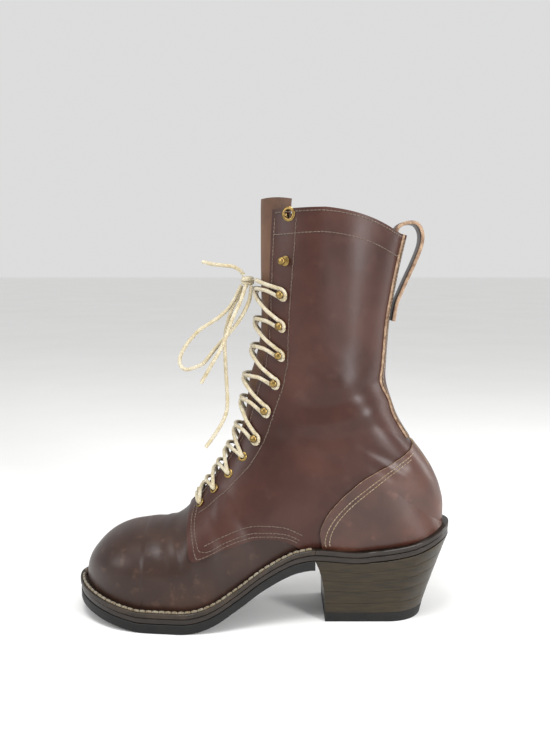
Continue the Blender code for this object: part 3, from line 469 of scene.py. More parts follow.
def acrossFromRidge(cut, distance, side):
    # Where on a section the surface is this far to one side of its ridge.
    reach = abs(cut["middle"] + side * cut["half"] - cut["top"][1])
    share = min(distance / reach, 1) if reach else 0
    return math.asin(share ** (cut["bow"] / 2)) / math.pi


def throatEdge(cut, side):
    # Where the edge of the throat lies on a section.
    return acrossFromRidge(cut, cut["gap"], side)


def inPlane(facing):
    # The facing without its sideways part, for points on the middle line and on the seams.
    return Vector((facing.x, 0, facing.z)).normalized()


def surface(row, t):
    # A point of the upper's outside and its facing. t is under 0 on the outer side.
    step = 0.004
    side = -1 if t < 0 else 1
    here = onSection(section(row), abs(t), side)
    ahead = max(row - step * 5, 0.5)
    behind = min(row + step * 5, len(sectionRows) - 1)
    along = onSection(section(behind), abs(t), side) - onSection(section(ahead), abs(t), side)
    near = max(abs(t) - step, 0)
    far = min(abs(t) + step, 1)
    cut = section(row)
    around = onSection(cut, far, side) - onSection(cut, near, side)
    facing = along.cross(around) * side
    return here, facing.normalized()


def fineRows(lastRow):
    # Rows near enough for the creases, at most rowGap apart.
    rows = []
    for i in range(lastRow):
        longest = 0.0
        for t in (0.0, 0.5, 1.0):
            stretch = onSection(section(i), t, -1) - onSection(section(i + 1), t, -1)
            longest = max(longest, stretch.length)
        steps = max(3, math.ceil(longest / rowGap))
        rows += [i + k / steps for k in range(steps)]
    return rows + [lastRow]


rowGap = 0.0025
outlineSpare = 0.1  # how far the cutting outlines reach past the boot
underFloor = -0.05
reliefStart = 0.00005
reliefSkirt = 0.0060
halfColumnsFront = 32
halfColumnsBack = 44
crossingSteps = 10
upperRows = fineRows(collarRow)
stations = [toeTip + (heelBack - toeTip) * k / 240 for k in range(241)]
stationTops = [underside(x) + stack for x in stations]


def soleTop(x):
    return float(np.interp(x, stations, stationTops))


def closedMesh(name, points, faces):
    # A mesh from faces, with equal points joined and its faces turned outwards.
    work = bmesh.new()
    verts = [work.verts.new(p) for p in points]
    for face in faces:
        corners = [verts[k] for k in dict.fromkeys(face)]
        if len(corners) > 2:
            work.faces.new(corners)
    bmesh.ops.delete(work, geom=[v for v in verts if not v.link_faces], context="VERTS")
    bmesh.ops.remove_doubles(work, verts=work.verts, dist=1e-7)
    bmesh.ops.dissolve_degenerate(work, edges=work.edges, dist=1e-7)
    bmesh.ops.recalc_face_normals(work, faces=work.faces)
    if work.calc_volume(signed=True) < 0:
        bmesh.ops.reverse_faces(work, faces=work.faces)
    mesh = bpy.data.meshes.new(name)
    work.to_mesh(mesh)
    work.free()
    return mesh


def ringFaces(count, ringCount):
    # The faces between rings of equally many points.
    faces = []
    for i in range(ringCount - 1):
        for k in range(count):
            a = i * count + k
            b = i * count + (k + 1) % count
            faces.append((a, b, b + count, a + count))
    return faces


def loft(name, rings):
    # A closed solid through rings of equally many points, with flat ends.
    count = len(rings[0])
    points = [p for ring in rings for p in ring]
    ends = [tuple(range(count)), tuple(range(len(points) - count, len(points)))]
    return closedMesh(name, points, ends + ringFaces(count, len(rings)))


def prism(name, outline, low, high):
    # A side outline of x and z, carried across from low to high.
    count = len(outline)
    points = [Vector((x, low, z)) for x, z in outline]
    points += [Vector((x, high, z)) for x, z in outline]
    faces = [tuple(range(count)), tuple(range(2 * count - 1, count - 1, -1))]
    for k in range(count):
        after = (k + 1) % count
        faces.append((k, after, after + count, k + count))
    return closedMesh(name, points, faces)


def heelOutline(heightShare, u):
    # A point and half width of the heel: u runs from the breast to the back.
    front = -heelBaseLength / 2 - breastFlare * heightShare ** 3
    back = heelBaseLength / 2 + (heelOverhang - clearance) * heightShare ** 1.25
    half = heelBaseWidth / 2 + (seatWidth - heelBaseWidth) / 2 * heightShare ** 1.2
    x = front + (back - front) * u
    return x, half * roundEnd(back - x, half)


def seatUnderside(x):
    return soleTop(min(x, heelBack)) + outsoleThickness - stack


def upperGrid():
    # The rows of the upper, with points and facings from the outer end to the inner.
    grid = []
    for row in upperRows:
        cut = section(row)
        line = []
        for side in (-1, 1):
            start = throatEdge(cut, side) if row > vampPoint else 0
            front = halfColumnsFront
            places = [start + (0.5 - start) * k / front for k in range(front)]
            places += [0.5 + 0.5 * k / halfColumnsBack for k in range(halfColumnsBack + 1)]
            halfLine = []
            for t in places:
                point, facing = surface(row, side * max(t, 1e-9))
                if row == 0:
                    facing = Vector((-1, 0, 0))
                if (row >= heelRow and t == 1) or (0 < row <= vampPoint and t == 0):
                    facing = inPlane(facing)
                halfLine.append((point, facing))
            line += halfLine[::-1] if side < 0 else halfLine
        grid.append((row, line))
    return grid


def layer(grid, distance, frontDistance=None, skirt=0.0):
    # The grid moved outwards, by another distance up to the vamp's row if one is given.
    # A skirt adds a point below each end of a row.
    lines = []
    for row, line in grid:
        reach = distance if frontDistance is None or row > vampRow else frontDistance
        points = [point + facing * reach for point, facing in line]
        if row <= heelRow:
            for k in (0, -1):
                point, facing = line[k]
                points[k] = point + Vector((facing.x, facing.y, 0)).normalized() * reach
                points[k].z = soleTop(points[k].x) + clearance
        if skirt:
            drop = Vector((0, 0, skirt))
            points = [points[0] - drop] + points + [points[-1] - drop]
        lines.append((row, points))
    return lines


def shell(name, outer, inner, overThroat=False):
    # A closed shell between two layers of the same rows.
    rows = [row for row, _ in outer]
    width = len(outer[0][1])
    last = width - 1
    middle = width // 2
    points = [p for _, line in outer + inner for p in line]
    shift = len(points) // 2
    same = list(range(shift))
    for i, row in enumerate(rows):
        if row <= vampPoint:
            same[i * width + middle] = i * width + middle - 1
        if row >= heelRow:
            same[i * width + last] = i * width
        if row == 0:
            same[i * width:(i + 1) * width] = [i * width] * width
    faces = []
    for i in range(len(outer) - 1):
        for k in range(last):
            if k == middle - 1 and not overThroat:
                continue
            below = i * width + k
            above = below + width
            if k < middle:
                halves = ((below, below + 1, above + 1), (below, above + 1, above))
            else:
                halves = ((below, below + 1, above), (below + 1, above + 1, above))
            for half in halves:
                corners = list(dict.fromkeys(same[c] for c in half))
                if len(corners) == 3:
                    faces.append(corners)
    sides = {(a, b) for face in faces for a, b in zip(face, face[1:] + face[:1])}
    rims = [(b, a, a + shift, b + shift) for a, b in sorted(sides) if (b, a) not in sides]
    innerFaces = [[c + shift for c in reversed(face)] for face in faces]
    return closedMesh(name, points, faces + rims + innerFaces)


def sideLine(rows, base, reach):
    # A smooth side outline from rows of a place along the upper and a height.
    points = [Vector((onUpper(row[1]), base + row[2] * reach)) for row in rows]
    return roundedRoute(points, 2)


def vampOutline():
    # The side of the vamp that the quarters leave bare.
    line = [(p.x, p.y) for p in sideLine(quarterEdge, 0, instepHeight)]
    farX = toeTip - outlineSpare
    corners = [(line[-1][0], underFloor), (farX, underFloor), (farX, collarHeight)]
    return line + corners + [(line[0][0], collarHeight)]


def counterOutline():
    base = underside(breast) + stack
    line = [(p.x, p.y) for p in sideLine(counterEdge, base, counterHeight)]
    farX = heelBack + outlineSpare
    return line + [(farX, line[-1][1]), (farX, line[0][1])]


def facingPlace(distance, inset, side):
    # The row and place of a point this far up the throat's edge and back from it.
    steps = 6
    rows = [throat + k / steps for k in range((collarRow - throat) * steps + 1)]
    line = []
    for row in rows:
        cut = section(row)
        line.append(onSection(cut, throatEdge(cut, side), side))
    lengths = np.cumsum([0] + [(b - a).length for a, b in zip(line, line[1:])])
    row = float(np.interp(distance, lengths, rows))
    cut = section(row)
    t = throatEdge(cut, side)
    reached = 0.0
    before = onSection(cut, t, side)
    while reached < inset and t < 0.95:
        t += 0.002
        point = onSection(cut, t, side)
        reached += (point - before).length
        before = point
    return row, side * t


def seat(point, facing, lift):
    # The place of a turned piece that stands on the quarters.
    turn = facing.to_track_quat("Z", "X").to_matrix().to_4x4()
    return Matrix.Translation(point + facing * lift) @ turn


def eyeletPlace(k, side, inset=eyeletInset, shift=0.0):
    return facingPlace(firstEyelet + k * eyeletPitch + shift, inset, side)


def hookPlace(k, side, inset=hookInset, shift=0.0):
    return facingPlace(firstEyelet + firstHook + k * hookPitch + shift, inset, side)


def topEyeletPlace(side):
    lastHook = firstEyelet + firstHook + (hookCount - 1) * hookPitch
    return facingPlace(lastHook + topEyeletStep, hookInset, side)


def laceStretch(outer, inner, droop=0.0):
    # Points of one crossing over the tongue, from an outer place to an inner one.
    overTongue = laceRadius - wall + tongueLift
    overQuarter = quarterThickness + laceRadius + 3 * clearance
    points = []
    steps = crossingSteps
    for k in range(steps + 1):
        u = k / steps
        row = outer[0] + (inner[0] - outer[0]) * u - droop * (1 - abs(2 * u - 1))
        t = (outer[1] if u < 0.5 else inner[1]) * abs(2 * u - 1)
        side = -1 if t < 0 else 1
        point, facing = surface(row, t or 1e-9)
        if not t:
            facing = inPlane(facing)
        edge = throatEdge(section(row), side)
        rise = min(abs(t) / (edge * climbShare), 1)
        points.append(point + facing * (overTongue + (overQuarter - overTongue) * rise))
    return points


# Materials

def rgb(hexText):
    # sRGB hex to linear, the only place where colours are turned
    out = []
    for k in (0, 2, 4):
        c = int(hexText[k:k + 2], 16) / 255
        out.append(c / 12.92 if c <= 0.04045 else ((c + 0.055) / 1.055) ** 2.4)
    return (*out, 1.0)


def node(tree, kind, links=None, **settings):
    made = tree.nodes.new(kind)
    for key, value in settings.items():
        setattr(made, key, value)
    for key, value in (links or {}).items():
        socket = made.inputs[key]
        if isinstance(value, bpy.types.NodeSocket):
            tree.links.new(value, socket)
        else:
            socket.default_value = value
    return made


def startMaterial(name):
    made = bpy.data.materials.new(name)
    made.use_nodes = True
    tree = made.node_tree
    shader = tree.nodes["Principled BSDF"]
    place = node(tree, "ShaderNodeNewGeometry").outputs["Position"]  # metres in the row frame
    return made, tree, shader, place


def noise(tree, place, scale, detail, **more):
    # A noise texture. More inputs of it are given by their names
    inputs = {"Vector": place, "Scale": scale, "Detail": detail, **more}
    return node(tree, "ShaderNodeTexNoise", inputs).outputs["Fac"]


def cells(tree, place, scale):
    settings = {"Vector": place, "Scale": scale}
    return node(tree, "ShaderNodeTexVoronoi", settings, feature="F1").outputs["Distance"]


def gloss(tree, shader, value, low, high, **more):
    # Roughness between two values as a cloud asks
    inputs = {"Value": value, "To Min": low, "To Max": high, **more}
    rough = node(tree, "ShaderNodeMapRange", inputs)
    tree.links.new(rough.outputs[0], shader.inputs["Roughness"])


def bumps(tree, height, strength, distance, **more):
    inputs = {"Height": height, "Strength": strength, "Distance": distance, **more}
    return node(tree, "ShaderNodeBump", inputs)


def ramp(tree, value, stops):
    made = node(tree, "ShaderNodeValToRGB", {"Fac": value})
    line = made.color_ramp
    while len(line.elements) < len(stops):
        line.elements.new(0.5)
    for element, (at, colour) in zip(line.elements, stops):
        element.position = at
        element.color = colour
    return made.outputs["Color"]


def leatherMaterial(name, look):
    # Pull-up leather, drum dyed and oiled: a fine pebbled grain, paler where it is bent or
    # rubbed, with a thin wax coat that gives the broad soft highlights
    made, tree, shader, place = startMaterial(name)
    cloud = noise(tree, place, look["cloudScale"], 6.0, Roughness=0.6)
    mottle = noise(tree, place, look["mottleScale"], 3.0)
    grain = cells(tree, place, look["grainScale"])
    pores = noise(tree, place, look["grainScale"] * look["poreShare"], 2.0)
    body = ramp(tree, cloud, (
        (0.32, rgb(look["dark"])), (0.52, rgb(look["body"])), (0.74, rgb(look["light"]))))
    worn = ramp(tree, mottle, ((0.60, (0, 0, 0, 1)), (0.78, (1, 1, 1, 1))))
    wear = node(tree, "ShaderNodeMath", {0: worn, 1: look["wear"]}, operation="MULTIPLY")
    mixed = {0: wear.outputs[0], 6: body, 7: rgb(look["rub"])}
    colour = node(tree, "ShaderNodeMix", mixed, data_type="RGBA")
    tree.links.new(colour.outputs[2], shader.inputs["Base Color"])
    spread = {"From Min": 0.3, "From Max": 0.7}
    gloss(tree, shader, cloud, look["rough"] - 0.07, look["rough"] + 0.09, **spread)
    fine = node(tree, "ShaderNodeMath", {0: grain, 1: pores}, operation="ADD")
    waves = bumps(tree, mottle, look["waves"], look["waveDepth"])
    waved = {"Normal": waves.outputs["Normal"]}
    bump = bumps(tree, fine.outputs[0], look["grain"], look["grainDepth"], **waved)
    tree.links.new(bump.outputs["Normal"], shader.inputs["Normal"])
    shader.inputs["Coat Weight"].default_value = look["coat"]
    shader.inputs["Coat Roughness"].default_value = look["coatRough"]
    shader.inputs["IOR"].default_value = 1.5
    shader.inputs["Specular IOR Level"].default_value = look["shine"]
    return made


plainDepth = 0.0003  # of the bump, in metres


def plainMaterial(name, look):
    # A plain solid material with a cloudy colour, uneven gloss and a fine bump
    made, tree, shader, place = startMaterial(name)
    if look.get("stretch"):
        factors = {0: place, 1: look["stretch"]}
        place = node(tree, "ShaderNodeVectorMath", factors, operation="MULTIPLY").outputs[0]
    cloud = noise(tree, place, look["scale"], 6.0, Roughness=0.65)
    body = ramp(tree, cloud, ((0.34, rgb(look["dark"])), (0.66, rgb(look["light"]))))
    tree.links.new(body, shader.inputs["Base Color"])
    gloss(tree, shader, cloud, look["rough"] - 0.1, look["rough"] + 0.1)
    fine = noise(tree, place, look["fineScale"], 3.0)
    bump = bumps(tree, fine, look["bump"], plainDepth)
    tree.links.new(bump.outputs["Normal"], shader.inputs["Normal"])
    shader.inputs["Metallic"].default_value = look.get("metal", 0.0)
    shader.inputs["Coat Weight"].default_value = look.get("coat", 0.0)
    shader.inputs["Specular IOR Level"].default_value = look.get("shine", 0.3)
    return made


stainScale = 160.0


def braidMaterial(name, look):
    # Waxed cotton braid: small cells for the strands, painted shade where the cell edges sink
    # between the strands, stains along it and a soft fuzz of sheen
    made, tree, shader, place = startMaterial(name)
    weave = cells(tree, place, look["strandScale"])
    cloud = noise(tree, place, stainScale, 4.0)
    # painted shade: the strand colour goes from light at the cell middles to dark at the cell
    # edges, where the bump below sinks between the strands
    body = ramp(tree, weave, ((0.1, rgb(look["light"])), (0.75, rgb(look["dark"]))))
    tint = ramp(tree, cloud, ((0.35, rgb(look["stain"])), (0.62, (1, 1, 1, 1))))
    both = node(tree, "ShaderNodeVectorMath", {0: body, 1: tint}, operation="MULTIPLY")
    tree.links.new(both.outputs[0], shader.inputs["Base Color"])
    bump = bumps(tree, weave, 0.7, 0.0004)
    bump.invert = True
    tree.links.new(bump.outputs["Normal"], shader.inputs["Normal"])
    shader.inputs["Roughness"].default_value = 0.8
    shader.inputs["Sheen Weight"].default_value = 0.35
    return made


leatherLook = dict(
    dark="29120c", body="391d16", light="48291f", rub="5f4238", cloudScale=14.0,
    mottleScale=60.0, grainScale=1500.0, poreShare=2.2, rough=0.40, grain=0.14, waves=0.10,
    wear=0.20, coat=0.13, coatRough=0.28, shine=0.28, waveDepth=0.0012, grainDepth=0.0002)
vampLook = dict(leatherLook, dark="20120c", body="2f1d16", light="412b21", rub="62493c",
                mottleScale=110.0, wear=0.35)
counterLook = dict(leatherLook, dark="30160e", body="472619", light="5c3626", rub="8a614c",
                   rough=0.36, wear=0.3, shine=0.5)
tongueLook = dict(leatherLook, dark="3f2a20", body="5c4131", light="705440", rub="8b7058",
                  rough=0.52, coat=0.08)
liningLook = dict(leatherLook, dark="33241b", body="4d392c", light="62493b", rub="7d6150",
                  rough=0.7, coat=0.0, shine=0.2)
edgeLook = dict(dark="6b5140", light="b0967d", scale=260.0, rough=0.8, fineScale=1800.0,
                bump=0.4)
# the stacked heel's dark brown, with an olive tint that is partly painted reflection: it stands in
# for green light reflected onto the heel side
stackAndReflectionLook = dict(dark="191307", light="302510", scale=55.0, rough=0.45, fineScale=500.0,
                 bump=0.30, coat=0.15, stretch=(1, 1, 9))
weltLook = dict(dark="1d1712", light="372c22", scale=90.0, rough=0.5, fineScale=900.0,
                bump=0.35, coat=0.1)
midsoleLook = dict(dark="16110d", light="2a211a", scale=90.0, rough=0.42, fineScale=700.0,
                   bump=0.3, coat=0.2, stretch=(1, 1, 8))
rubberLook = dict(dark="0b0b0b", light="161514", scale=120.0, rough=0.55, fineScale=1300.0,
                  bump=0.3)
brassLook = dict(dark="6f5a34", light="a08652", scale=260.0, rough=0.34, fineScale=900.0,
                 bump=0.08, metal=1.0, shine=0.5)
insoleLook = dict(dark="7c5d42", light="a28160", scale=80.0, rough=0.8, fineScale=900.0,
                  bump=0.4)
# light and dark of the threads: the strand colour at the cell middles, and the painted shade at the
# cell edges between the strands
laceLook = dict(light="ddd5c0", dark="a89e84", stain="e8dfc9", strandScale=1500.0)
threadLook = dict(light="b7a385", dark="7a6750", stain="d8cbb2", strandScale=2600.0)
weltThreadLook = dict(light="a59a84", dark="6b6251", stain="d8cbb2", strandScale=1600.0)
darkThreadLook = dict(light="7c6350", dark="4a372a", stain="d8cbb2", strandScale=2600.0)

upperLeather = leatherMaterial("oiled_pull_up_leather", leatherLook)
vampLeather = leatherMaterial("oiled_leather_vamp", vampLook)
counterLeather = leatherMaterial("oiled_leather_counter", counterLook)
tongueLeather = leatherMaterial("waxed_tongue_leather", tongueLook)
liningLeather = leatherMaterial("flesh_side_leather", liningLook)
rawEdge = plainMaterial("raw_cut_leather_edge", edgeLook)
stackLeather = plainMaterial("stacked_heel_leather_edge", stackAndReflectionLook)
weltLeather = plainMaterial("burnished_welt_leather", weltLook)
midsoleLeather = plainMaterial("ink_dressed_sole_edge", midsoleLook)
soleRubber = plainMaterial("moulded_black_rubber", rubberLook)
agedBrass = plainMaterial("aged_spun_brass", brassLook)
insoleLeather = plainMaterial("vegetable_tanned_board", insoleLook)
laceBraid = braidMaterial("waxed_braided_lace", laceLook)
threadTwist = braidMaterial("waxed_linen_thread", threadLook)
darkThread = braidMaterial("brown_waxed_thread", darkThreadLook)
weltThread = braidMaterial("heavy_waxed_welt_thread", weltThreadLook)
print("materials made")


# Helpers that make pieces

def linked(name, data):
    made = bpy.data.objects.new(name, data)
    bpy.context.scene.collection.objects.link(made)
    return made


def addPiece(name, mesh, material, nodes=(), smoothAngle=38):
    piece = linked(name, mesh)
    mesh.materials.clear()
    mesh.materials.append(material)
    mesh.shade_smooth()
    mesh.set_sharp_from_angle(angle=math.radians(smoothAngle))
    if nodes:
        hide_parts(*nodes)
    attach(piece, "root")
    return piece


def cutMesh(base, other, operation):
    # The base mesh with another added, taken away or kept in common
    a = linked("baseTemp", base)
    b = linked("otherTemp", other)
    change = a.modifiers.new("cut", "BOOLEAN")
    change.operation = operation
    change.object = b
    change.solver = "MANIFOLD"
    graph = bpy.context.evaluated_depsgraph_get()
    made = bpy.data.meshes.new_from_object(a.evaluated_get(graph))
    for each in (a, b):
        bpy.data.objects.remove(each, do_unlink=True)
    return made


def tube(points, radius, sides=laceSides, taper=None):
    # Points and faces of a closed round tube, its rings turned as little as possible
    points = [Vector(p) for p in points]
    rings = []
    up = None
    for k, point in enumerate(points):
        along = (points[min(k + 1, len(points) - 1)] - points[max(k - 1, 0)]).normalized()
        if up is None:
            up = along.orthogonal().normalized()
        up = (up - along * up.dot(along)).normalized()
        across = along.cross(up)
        size = radius * (taper[k] if taper else 1)
        turns = [2 * math.pi * j / sides for j in range(sides)]
        rings.append([point + (up * math.cos(a) + across * math.sin(a)) * size for a in turns])
    verts = [v for ring in rings for v in ring]
    ends = [tuple(range(sides))[::-1], tuple(range(len(verts) - sides, len(verts)))]
    return verts, ends + ringFaces(sides, len(rings))


def meshOf(name, parts):
    # One mesh from several lists of points and faces
    verts = []
    faces = []
    for points, polygons in parts:
        shift = len(verts)
        verts += [tuple(p) for p in points]
        faces += [tuple(c + shift for c in face) for face in polygons]
    mesh = bpy.data.meshes.new(name)
    mesh.from_pydata(verts, [], faces)
    mesh.update()
    return mesh


def turnedMesh(name, profile, steps, closed):
    points = []
    faces = []
    count = len(profile)
    for k in range(steps):
        a = 2 * math.pi * k / steps
        points += [Vector((r * math.cos(a), r * math.sin(a), z)) for r, z in profile]
    for k in range(steps):
        for j in range(count if closed else count - 1):
            a = k * count + j
            b = k * count + (j + 1) % count
            c = (k + 1) % steps * count + (j + 1) % count
            d = (k + 1) % steps * count + j
            faces.append((a, b, c, d))
    return closedMesh(name, points, faces)


def spaced(points, pitch):
    # Points at an even pitch along a line, each with its direction
    lengths = [0.0]
    for a, b in zip(points, points[1:]):
        lengths.append(lengths[-1] + (b - a).length)
    count = max(int(lengths[-1] / pitch), 1)
    out = []
    for k in range(count):
        at = (k + 0.5) * lengths[-1] / count
        i = max(j for j in range(len(lengths)) if lengths[j] <= at)
        i = min(i, len(points) - 2)
        step = max(lengths[i + 1] - lengths[i], 1e-9)
        point = points[i].lerp(points[i + 1], (at - lengths[i]) / step)
        out.append((point, (points[i + 1] - points[i]).normalized()))
    return out


# One stitch: place along it and height, as shares of its half and of the thread, and taper
stitchShape = ((-1, -0.5, 0.6), (-0.75, 0.35, 1), (0, 0.6, 1), (0.75, 0.35, 1), (1, -0.5, 0.6))


def stitches(line, facings, look):
    # Short thread humps that dive at both ends, as a list of mesh parts
    parts = []
    tree = kdOf(line)
    half = look["pitch"] * look["fill"] / 2
    tapers = [taper for _, _, taper in stitchShape]
    for point, along in spaced(line, look["pitch"]):
        facing = facings[tree.find(point)[1]]
        path = [point + along * half * u + facing * look["thread"] * v for u, v, _ in stitchShape]
        parts.append(tube(path, look["thread"], 6, tapers))
    return parts


def kdOf(points):
    tree = KDTree(len(points))
    for k, point in enumerate(points):
        tree.insert(point, k)
    tree.balance()
    return tree


rayStart = 0.3  # well outside the boot


def onSide(trees, places, side):
    # A side line of x and z, dropped on the boot from one side
    line = []
    facings = []
    for x, z in places:
        best = None
        for tree in trees:
            start = Vector((x, rayStart * side, z))
            hit, facing, _, _ = tree.ray_cast(start, Vector((0, -side, 0)))
            if hit and (best is None or hit.y * side > best[0].y * side):
                best = (hit, facing if facing.y * side > 0 else -facing)
        if best:
            line.append(best[0])
            facings.append(best[1])
    return line, facings


def fineLine(rows):
    # A smooth line through places given in millimetres
    points = [Vector((a / 1000, b / 1000)) for a, b in rows]
    return [(p.x, p.y) for p in roundedRoute(points, 6)]


# Camera, and the cords that lie free

# The camera that was fitted to the photo: it looks 7 degrees down at the outer side
view = dict(lens=40.27, sensor=36.0, place=(-0.083, -0.680, 0.293), pitch=83.0)
cameraData = bpy.data.cameras.new("camera")
cameraData.sensor_width = view["sensor"]
cameraData.lens = view["lens"]
camera = linked("camera", cameraData)
camera.location = view["place"]
camera.rotation_euler = (math.radians(view["pitch"]), 0, 0)
bpy.context.scene.camera = camera

outerEnds = []
innerEnds = []
apart = laceRadius + clearance
brassGap = 0.0006  # between the lace's stretch and the foot of the brass
pastEyelet = eyeletInset - eyeletFlange - laceRadius - brassGap
pastHook = hookInset - hookBase - laceRadius - brassGap
for shift, levels in ((-apart, outerEnds), (apart, innerEnds)):
    for k in range(eyeletCount):
        levels.append([eyeletPlace(k, side, pastEyelet, shift) for side in (-1, 1)])
    for k in range(lacedHooks):
        levels.append([hookPlace(k, side, pastHook, shift) for side in (-1, 1)])
tiePoints = laceStretch(*innerEnds[-1], tieDroop)
knotMiddle = tiePoints[len(tiePoints) // 2] - Vector((knotReach + laceRadius + clearance, 0, 0))


def freeCord(name, rows, nodeName):
    # A round cord along a route from the knot
    points = [Vector((knotMiddle.x - ahead, knotMiddle.y + out, knotMiddle.z + up))
              for ahead, out, up in rows]
    route = roundedRoute(points, 6)
    data = bpy.data.curves.new(name, "CURVE")
    data.dimensions = "3D"
    data.bevel_depth = laceRadius
    data.bevel_resolution = 4
    data.use_fill_caps = True
    spline = data.splines.new("POLY")
    spline.points.add(len(route) - 1)
    for place, point in zip(spline.points, route):
        place.co = (*point, 1)
    data.materials.append(laceBraid)
    spline.use_smooth = True
    piece = linked(name, data)
    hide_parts(nodeName)
    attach(piece, "root")
    length = sum((b - a).length for a, b in zip(route, route[1:]))
    return piece, route, length


# Each wrap of the knot: tilt, height and size
knotLook = dict(wraps=((0.25, -0.0018, 1.0), (-0.15, 0.0002, 1.08), (0.05, 0.0021, 0.95)),
                ahead=0.0040, across=0.0031, rise=0.003, steps=24, thickness=0.85,
                sides=10, core=0.0030, coreHalf=0.0036)


def knotMesh(look):
    # Three turns of lace round the gathered strands
    parts = []
    for tilt, shift, size in look["wraps"]:
        ring = []
        for k in range(look["steps"] + 1):
            a = 2 * math.pi * k / look["steps"]
            height = shift + tilt * look["rise"] * math.sin(a)
            flat = (look["ahead"] * size * math.cos(a), look["across"] * size * math.sin(a))
            ring.append(knotMiddle + Vector((*flat, height)))
        parts.append(tube(ring, laceRadius * look["thickness"], look["sides"]))
    half = look["coreHalf"]
    core = [knotMiddle + Vector((0, 0, z)) for z in (-half, 0.0, half)]
    parts.append(tube(core, look["core"], look["sides"]))
    return meshOf("lace_knot_wraps", parts)


knotPiece = addPiece("lace_knot_wraps", knotMesh(knotLook), laceBraid,
                     ("lace_knot",), 70)
for name, rows, farEnd, nodeName in (
    ("bow_loop", loopRoute, "knot", "lace_loop"),
    ("bow_end_a", endARoute, "bare", "lace_end_a"),
    ("bow_end_b", endBRoute, "bare", "lace_end_b"),
    ("long_strand", strandRoute, "bare", "lace_strand"),
):
    piece, route, length = freeCord(name, rows, nodeName)
    print("cord", name, round(length, 4))
print("camera and cords made")


# The upper

# Creases as soft troughs and ridges: side of the boot, line of x and z in millimetres, depth
# and half width in millimetres. A minus depth is a ridge.
creases = (
    (-1, ((6, 200), (-8, 193), (-24, 186), (-42, 181), (-58, 180)), 2.4, 11),
    (-1, ((10, 183), (-8, 176), (-28, 170), (-54, 166)), -1.2, 9),
    (-1, ((2, 166), (-16, 159), (-40, 154), (-60, 156)), 1.1, 9),
    (-1, ((-50, 214), (-44, 208), (-36, 202)), 0.7, 5),
    (-1, ((-14, 150), (4, 140), (20, 131)), 0.8, 5),
    (-1, ((-8, 141), (8, 132), (22, 124)), -0.5, 4),
    (-1, ((-4, 132), (10, 124)), 0.6, 4),
    (-1, ((-48, 117), (-34, 110), (-22, 104)), 0.7, 5),
    (-1, ((-78, 152), (-60, 142), (-38, 136)), 1.0, 10),
    (-1, ((-40, 330), (-34, 280), (-34, 235)), 0.9, 14),
    (-1, ((-124, 110), (-116, 94), (-104, 82)), 1.1, 8),
    (-1, ((-138, 98), (-134, 84), (-126, 72)), 0.8, 6),
    (1, ((6, 198), (-12, 190), (-40, 183)), 2.0, 11),
    (1, ((8, 180), (-20, 172), (-58, 167)), -0.9, 7),
    (1, ((0, 168), (-30, 162), (-60, 162)), 0.9, 6),
    (1, ((-78, 152), (-60, 142), (-38, 136)), 0.9, 10),
    (1, ((-124, 110), (-116, 94), (-104, 82)), 1.1, 8),
    (1, ((-138, 98), (-134, 84), (-126, 72)), 0.7, 6),
    (-1, ((-168, 82), (-164, 68), (-160, 54)), 0.9, 5),
    (1, ((-168, 82), (-164, 68), (-160, 54)), 0.9, 5),
    (-1, ((-179, 79), (-176, 66), (-172, 52)), 0.6, 5),
    (1, ((-179, 79), (-176, 66), (-172, 52)), 0.6, 5),
)


creaseFade = 0.018  # creases fade out this near the front and the back seam


def dent(point):
    # How far the leather is pressed in here
    total = 0.0
    x, z = point.x * 1000, point.z * 1000
    for side, line, depth, width in creases:
        share = min(max(point.y * side / creaseFade, 0), 1)
        if share == 0:
            continue
        nearest = 1e9
        for (ax, az), (bx, bz) in zip(line, line[1:]):
            dx, dz = bx - ax, bz - az
            u = min(max(((x - ax) * dx + (z - az) * dz) / (dx * dx + dz * dz), 0), 1)
            nearest = min(nearest, math.hypot(x - ax - u * dx, z - az - u * dz))
        if nearest < width * 2.5:
            total += share * depth / 1000 * math.exp(-(nearest / width) ** 2 * 1.6)
    return total


def creased(grid):
    made = []
    for row, line in grid:
        made.append((row, [(point - facing * dent(point), facing) for point, facing in line]))
    return made


def outlinePrism(name, outline, halfWidth=0.2):
    return prism(name, outline, -halfWidth, halfWidth)


grid = creased(upperGrid())
print("upper grid", len(grid), "rows of", len(grid[0][1]))
outside = layer(grid, quarterThickness, 0.0)
upperMesh = shell("upper_shell", outside, layer(grid, -wall))
lastBare = sectionNames.index("ankle front")
bare = [(row, line) for row, line in grid if vampRow <= row <= lastBare]
relief = shell("relief", layer(bare, 2 * quarterThickness, None, reliefSkirt),
               layer(bare, 0.0, reliefStart, reliefSkirt), True)
relief = cutMesh(relief, outlinePrism("reliefOutline", vampOutline()), "INTERSECT")
upperMesh = cutMesh(upperMesh, relief, "DIFFERENCE")
drillReach = 0.01
for side in (-1, 1):
    holes = [(eyeletPlace(k, side), eyeletHole) for k in range(eyeletCount)]
    holes.append((topEyeletPlace(side), topEyeletHole))
    for place, hole in holes:
        radius = hole + eyeletBarrel + clearance
        reach = drillReach
        profile = ((0, reach), (radius, reach), (radius, -reach), (0, -reach))
        drill = turnedMesh("drill", profile, 24, False)
        drill.transform(seat(*surface(*place), quarterThickness))
        upperMesh = cutMesh(upperMesh, drill, "DIFFERENCE")
shellAngle = 62  # sharper edges than this stay sharp on the shells
upperPiece = addPiece("boot_upper", upperMesh, upperLeather, ("upper",), shellAngle)

overlayLift = quarterThickness + clearance
under = layer(grid, overlayLift)
counterMesh = shell("counter_shell", layer(grid, overlayLift + counterThickness), under)
counterSide = outlinePrism("counterOutline", counterOutline())
counterMesh = cutMesh(counterMesh, counterSide, "INTERSECT")
counterPiece = addPiece("heel_counter", counterMesh, counterLeather, ("counter",),
                        shellAngle)

